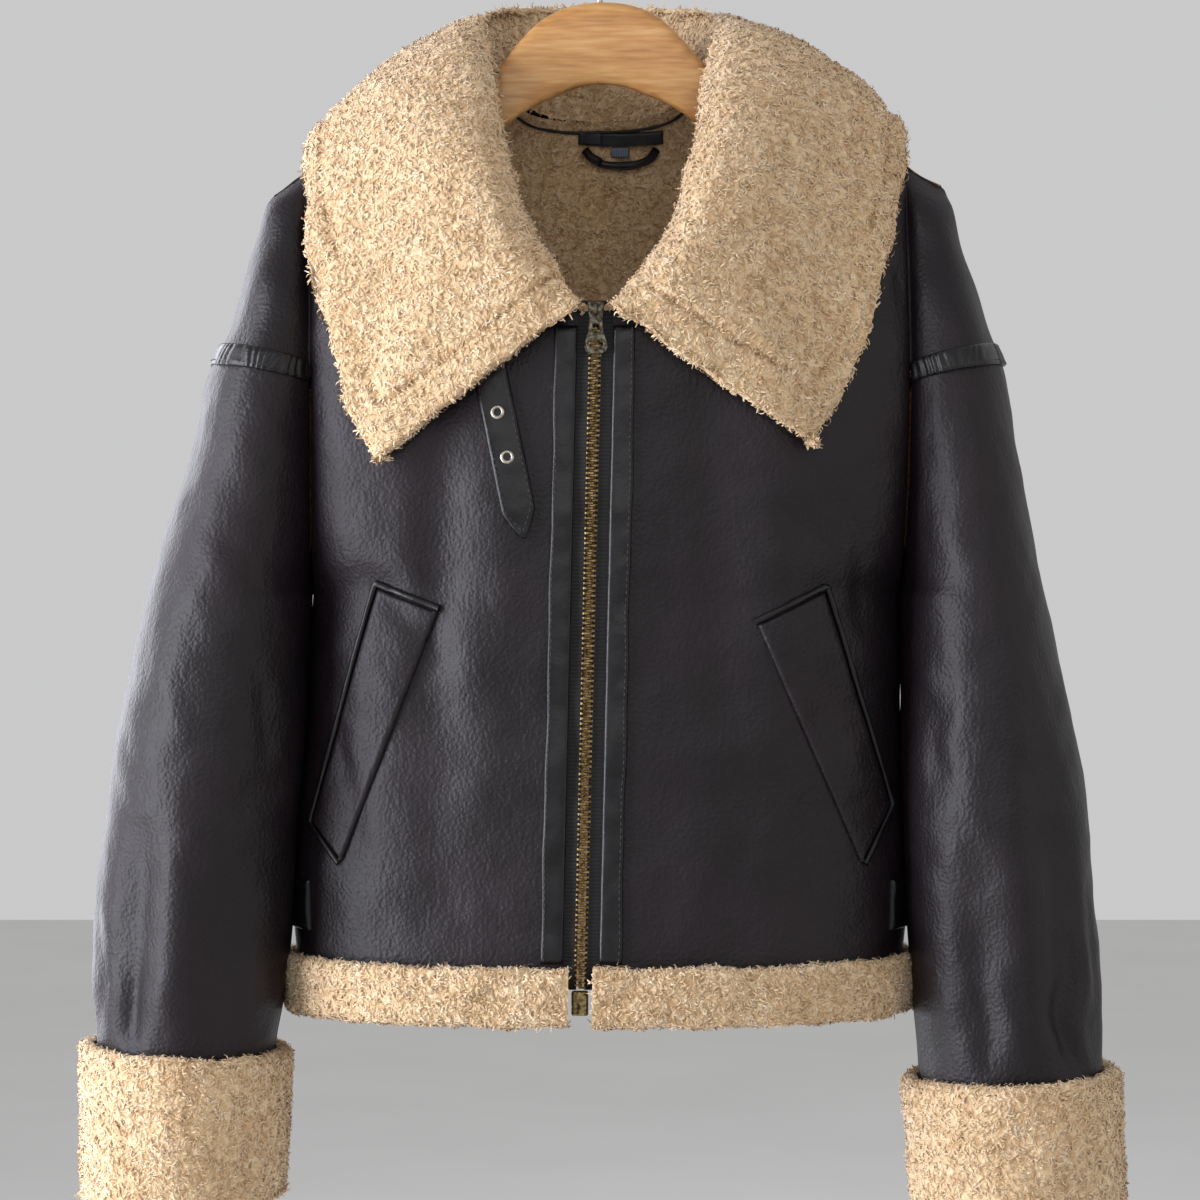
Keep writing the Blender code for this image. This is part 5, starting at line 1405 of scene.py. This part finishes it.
# Nickel plate on the eyelets and on the hanger's hook, dulled by handling: cool grey with soft reflections.
nickel, tree, shader, place = new_finish("Dulled nickel plate")
handled = add(tree, "TexNoise", {"Vector": place, "Scale": 700.0, "Detail": 3.0})
tint = add(tree, "ValToRGB", {"Fac": handled.outputs["Fac"]}, stops=((0.3, "#8e877a"), (0.7, "#c5c0b4")))
rubbed = add(tree, "MapRange", {"Value": handled.outputs["Fac"], "To Min": 0.42, "To Max": 0.24})
fill(tree, shader, {"Base Color": tint.outputs["Color"], "Metallic": 1.0, "Roughness": rubbed.outputs["Result"]})
for name in ("upper", "lower"):
    node = f"eyelet_{name}"
    low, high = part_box(node)
    centre = (low + high) * 500
    spot, out = on_fronts(np.array([[centre.x, centre.z]]))
    spot, out = spot[0], out[0]
    beside = np.cross(out, (0, 0, 1.0))
    beside /= np.linalg.norm(beside)
    upward = np.cross(beside, out)
    profile = ((2.2, -0.6), (2.3, 0.5), (2.8, 1.15), (3.5, 1.15), (4.2, 0.7), (4.5, 0.0))
    rings = []
    for radius, high in profile:
        ring_out = beside * np.cos(turns)[:, None] + upward * np.sin(turns)[:, None]
        rings.append(spot + out * (STRAP_THICK - 0.1 + high) + ring_out * radius)
    eyelet = piece_from(f"{node}_nickel", [np.array(rings)], nickel, closed=(False, True))
    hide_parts(node)

# ---------------------------------------------------------------- side tabs
# A short double strap of nappa lies round each side seam above the hem, with a row of stitches along its upper
# and its lower edge.

TAB_TOP, TAB_BOTTOM, SIDE_TAB_THICK = -644.0, -676.0, 2.9
for side, word in SIDES:
    rows = []
    for z in TAB_TOP + (TAB_BOTTOM - TAB_TOP) * close_ends(10):
        wide = float(half_width(side, z))
        forward = np.array([0.91, 0.93, 0.955, 0.98, 0.993])
        backward = np.array([0.995, 0.985, 0.965, 0.93, 0.88, 0.80, 0.78])
        halves = []
        for shares, facing in ((forward, FRONT), (backward, BACK)):
            x, level = side * wide * shares, z + 0 * shares
            halves.append(np.stack([x, body_y(x, level, facing), level], -1))
        front, back = halves
        seam = np.array([[side * wide, float(read(BODY, "z", z, "middle")), z]])
        rows.append(finer(np.concatenate([front, seam, back]), 5, 0)[4:-4])
    grid = np.array(rows)
    along = np.gradient(grid, axis=1)
    way_out = unit(np.stack([along[..., 1], -along[..., 0], 0 * along[..., 0]], axis=-1) * side)
    high = SIDE_TAB_THICK + 0.3 * unevenness(grid, 14, 91)
    high[[0, -1], :] = high[:, [0, -1]].mean() * 0.55
    high[:, [0, -1]] = SIDE_TAB_THICK * 0.5
    for end, row in (("upper", 2), ("lower", -3)):
        path = grid[row] + way_out[row] * (SIDE_TAB_THICK + 0.1)
        stitches(f"side_tab_stitches_{end}_{word}", path, way_out[row])
    tab = piece_from(f"side_tab_{word}_nappa", [rimmed(grid, way_out, high)], nappa)
    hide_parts(f"side_tab_{word}")

# ---------------------------------------------------------------- inside the back of the neck
# A bare woven label, a padded hanging loop sewn under its ends and a bare size tab lie on the pile lining. The
# pile shows its curls here, where the light reaches in.

WALL = 5.0


def inside_back(x, z, lift):
    """Points on the pile inside the back, and the way out of it, towards the wearer."""
    step = 1.0
    y = body_y(x, z, BACK)
    along_x = np.stack([0 * x + 2 * step, body_y(x + step, z, BACK) - body_y(x - step, z, BACK), 0 * x], -1)
    along_z = np.stack([0 * x, body_y(x, z + step, BACK) - body_y(x, z - step, BACK), 0 * x + 2 * step], -1)
    out = unit(np.cross(along_x, along_z))
    out = np.where(out[..., 1:2] > 0, -out, out)
    return np.stack([x, y, z + 0 * x], axis=-1) + out * (WALL + lift), out


x, z = np.meshgrid(np.linspace(-74, 74, 75), np.linspace(-330, -136, 98))
grid, out = inside_back(x, np.minimum(z, top_edge(x, BACK) + 4), 0.3)
lumps = bumpy(grid, *CURLS)
grid = grid + out * (1.1 * lumps)[..., None]
covered = ((x > -19) & (x < 47) & (z > -163) & (z < -148)) | ((x > 6) & (x < 24) & (z > -170) & (z < -156))
below_loop = (np.abs(np.hypot((x - 14) / 28.0, (z + 160) / 12.5) - 1) < 0.28) & (z < -158)
# Painted shade: the pile here is toned darker than the collar's, lighter on the tops of its lumps and darker in their
# hollows.
neck_pile = piece_from("lining_neck", [grid], pile, tone=0.34 + 0.20 * lumps)
short = 0.96 * (covered | below_loop)
neck_locks = locks("lining_neck_locks", grid, out, 8000, 4.4, 0.85, 97, pile, short=short, lift=-0.2)

# Satin-woven polyester with a faint lustre along its threads: black for the label, grey-blue for the size tab.
# The threads are about 0.2 mm apart, drawn at 1.6 mm so that they show.
satins = {}
for word, dark, light, rough in (("black", "#121317", "#1e2026", 0.45), ("grey-blue", "#4a5866", "#64727f", 0.5)):
    satins[word], tree, shader, place = new_finish(f"Satin-woven polyester, {word}")
    threads = add(tree, "TexWave", {"Vector": place, "Scale": 1 / 0.0008 / 6.28}, bands_direction="X")
    tint = add(tree, "ValToRGB", {"Fac": threads.outputs["Fac"]}, stops=((0.1, dark), (0.9, light)))
    fill(tree, shader, {"Base Color": tint.outputs["Color"], "Roughness": rough})

PATCHES = (
    # name, node, left, right, top, low, finish, slot, flat size
    ("neck_label_satin", "neck_label", -16.0, 44.0, -150.5, -159.0, satins["black"], "tape", (0.060, 0.0120)),
    ("size_tab_satin", "size_tab", 9.0, 21.0, -159.8, -166.5, satins["grey-blue"], "size_tab", (0.012, 0.0135)),
)
for name, node, left, right, top, low, finish, kind, flat in PATCHES:
    x, z = np.meshgrid(left + (right - left) * close_ends(24), top + (low - top) * close_ends(6))
    sag = 1.2 * ((x - (left + right) / 2) / (right - left) * 2) ** 2 if node == "neck_label" else 0
    points, out = inside_back(x, z + sag - 0.6, 2.6)
    high = 1.6 + 0.35 * unevenness(points, 16, 101)
    high[[0, -1], :] = 0.9
    high[:, [0, -1]] = 0.3
    patch = piece_from(name, [rimmed(points, out, high, sunk=1.0)], finish)
    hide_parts(node)

LOOP = np.array([(-12, -161.8), (-7, -167), (2, -171), (14, -172.5), (26, -171.5), (35, -168), (40, -161.8)], float)
line = finer(LOOP, 8, 0)
points, out = inside_back(line[:, 0], line[:, 1], 4.6)
loop = laid_tube("hang_loop_padded", (points, out), 2.9, nappa, 0.0, soft=0.10, sewn=False)
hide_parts("hang_loop")

# The seam between the lining and the collar's stand is bound in black.
x = np.linspace(-70, 70, 141)
points, out = inside_back(x, top_edge(x, BACK) - 2.6, 2.6)
binding = laid_tube("neck_seam_binding", (points, out), 1.1, nappa, 0.0, soft=0.25)

# ---------------------------------------------------------------- hanger
# A shaped adult hanger sawn from maple, sanded and clear lacquered, with a nickel-plated wire hook screwed into
# the top of its neck. Its arms run down inside the shoulders.

# Maple under satin lacquer: honey, with fine grain lines along the arms and slow changes of tone.
maple, tree, shader, place = new_finish("Lacquered maple")
drawn = add(tree, "Mapping", {"Vector": place, "Scale": (0.10, 1.0, 1.0)})
wavy = {"Vector": drawn.outputs["Vector"], "Scale": 55.0, "Detail": 5.0, "Roughness": 0.55, "Distortion": 0.6}
figure = add(tree, "TexNoise", wavy)
lines = add(tree, "TexNoise", {"Vector": drawn.outputs["Vector"], "Scale": 420.0, "Detail": 3.0})
both = add(tree, "Math", {0: figure.outputs["Fac"], 1: lines.outputs["Fac"]}, operation="ADD")
half_each = add(tree, "Math", {0: both.outputs["Value"], 1: 0.5}, operation="MULTIPLY")
tint = add(
    tree,
    "ValToRGB",
    {"Fac": half_each.outputs["Value"]},
    stops=((0.34, "#9a6834"), (0.66, "#c99c62"), (0.50, "#b88347")),
)
sanded = add(tree, "Bump", {"Height": lines.outputs["Fac"], "Strength": 0.12, "Distance": 0.0003})
surface = {
    "Base Color": tint.outputs["Color"],
    "Roughness": 0.42,
    "IOR": 1.5,
    "Coat Weight": 0.25,
    "Coat Roughness": 0.25,
    "Normal": sanded.outputs["Normal"],
}
fill(tree, shader, surface)

HANGER = table(
    "x top bottom half",
    (0, -78, -131, 6.5),
    (15, -79.5, -133, 6.5),
    (28, -83.5, -138, 6.5),
    (40, -90.5, -143, 6.5),
    (52, -102, -150, 6.5),
    (64, -116.5, -158, 6.0),
    (76, -128.5, -164, 6.0),
    (90, -136.5, -171, 6.0),
    (120, -152.5, -187, 6.5),
    (160, -175.5, -204, 6.0),
    (190, -194.5, -215, 5.0),
    (200, -202.5, -216, 4.0),
)
x = np.concatenate([[-200.0], np.linspace(-200, 200, 121), [200.0]])
top, bottom, half = (read(HANGER, "x", np.abs(x), column) for column in ("top", "bottom", "half"))
turns = full_turn(32)


def squared(values):
    """The sines or cosines of a round section, for one with flatter sides."""
    return np.sign(values) * np.abs(values) ** 0.55


shrink = np.ones(len(x))
shrink[[0, -1]] = 0.0
rows = []
for a in turns:
    y = half * squared(np.cos(a)) * shrink
    z = (top + bottom) / 2 + (top - bottom) / 2 * squared(np.sin(a)) * shrink + TILT * x
    rows.append(np.stack([x, y, z], axis=-1))
wood = piece_from("hanger_maple", [np.array(rows)], maple, closed=(True, False))
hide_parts("hanger_wood")

HOOK_WIRE, HOOK_RADIUS = 1.75, 18.0
reach = HOOK_RADIUS + HOOK_WIRE
path = [(0.0, -80.0), (0.0, -66.0), (0.3, -57.0), (2.2, -49.5), (6.5, -42.5)]
bend = np.radians(np.linspace(-52, 196, 22))
path += [(reach * math.cos(a), -HOOK_RADIUS + reach * math.sin(a)) for a in bend]
line = finer(np.array([(x, 0.0, z) for x, z in path]), 4, 0)
ahead = unit(np.gradient(line, axis=0))
aside = np.array([0.0, 1.0, 0.0])
size = np.full(len(line), HOOK_WIRE)
size[-1] = 0.4
rings = [
    line + (aside * math.cos(a) + np.cross(ahead, aside) * math.sin(a)) * size[:, None]
    for a in full_turn(14)
]
hook = piece_from("hanger_hook_wire", [np.array(rings)], nickel, closed=(True, False))
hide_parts("hanger_hook")
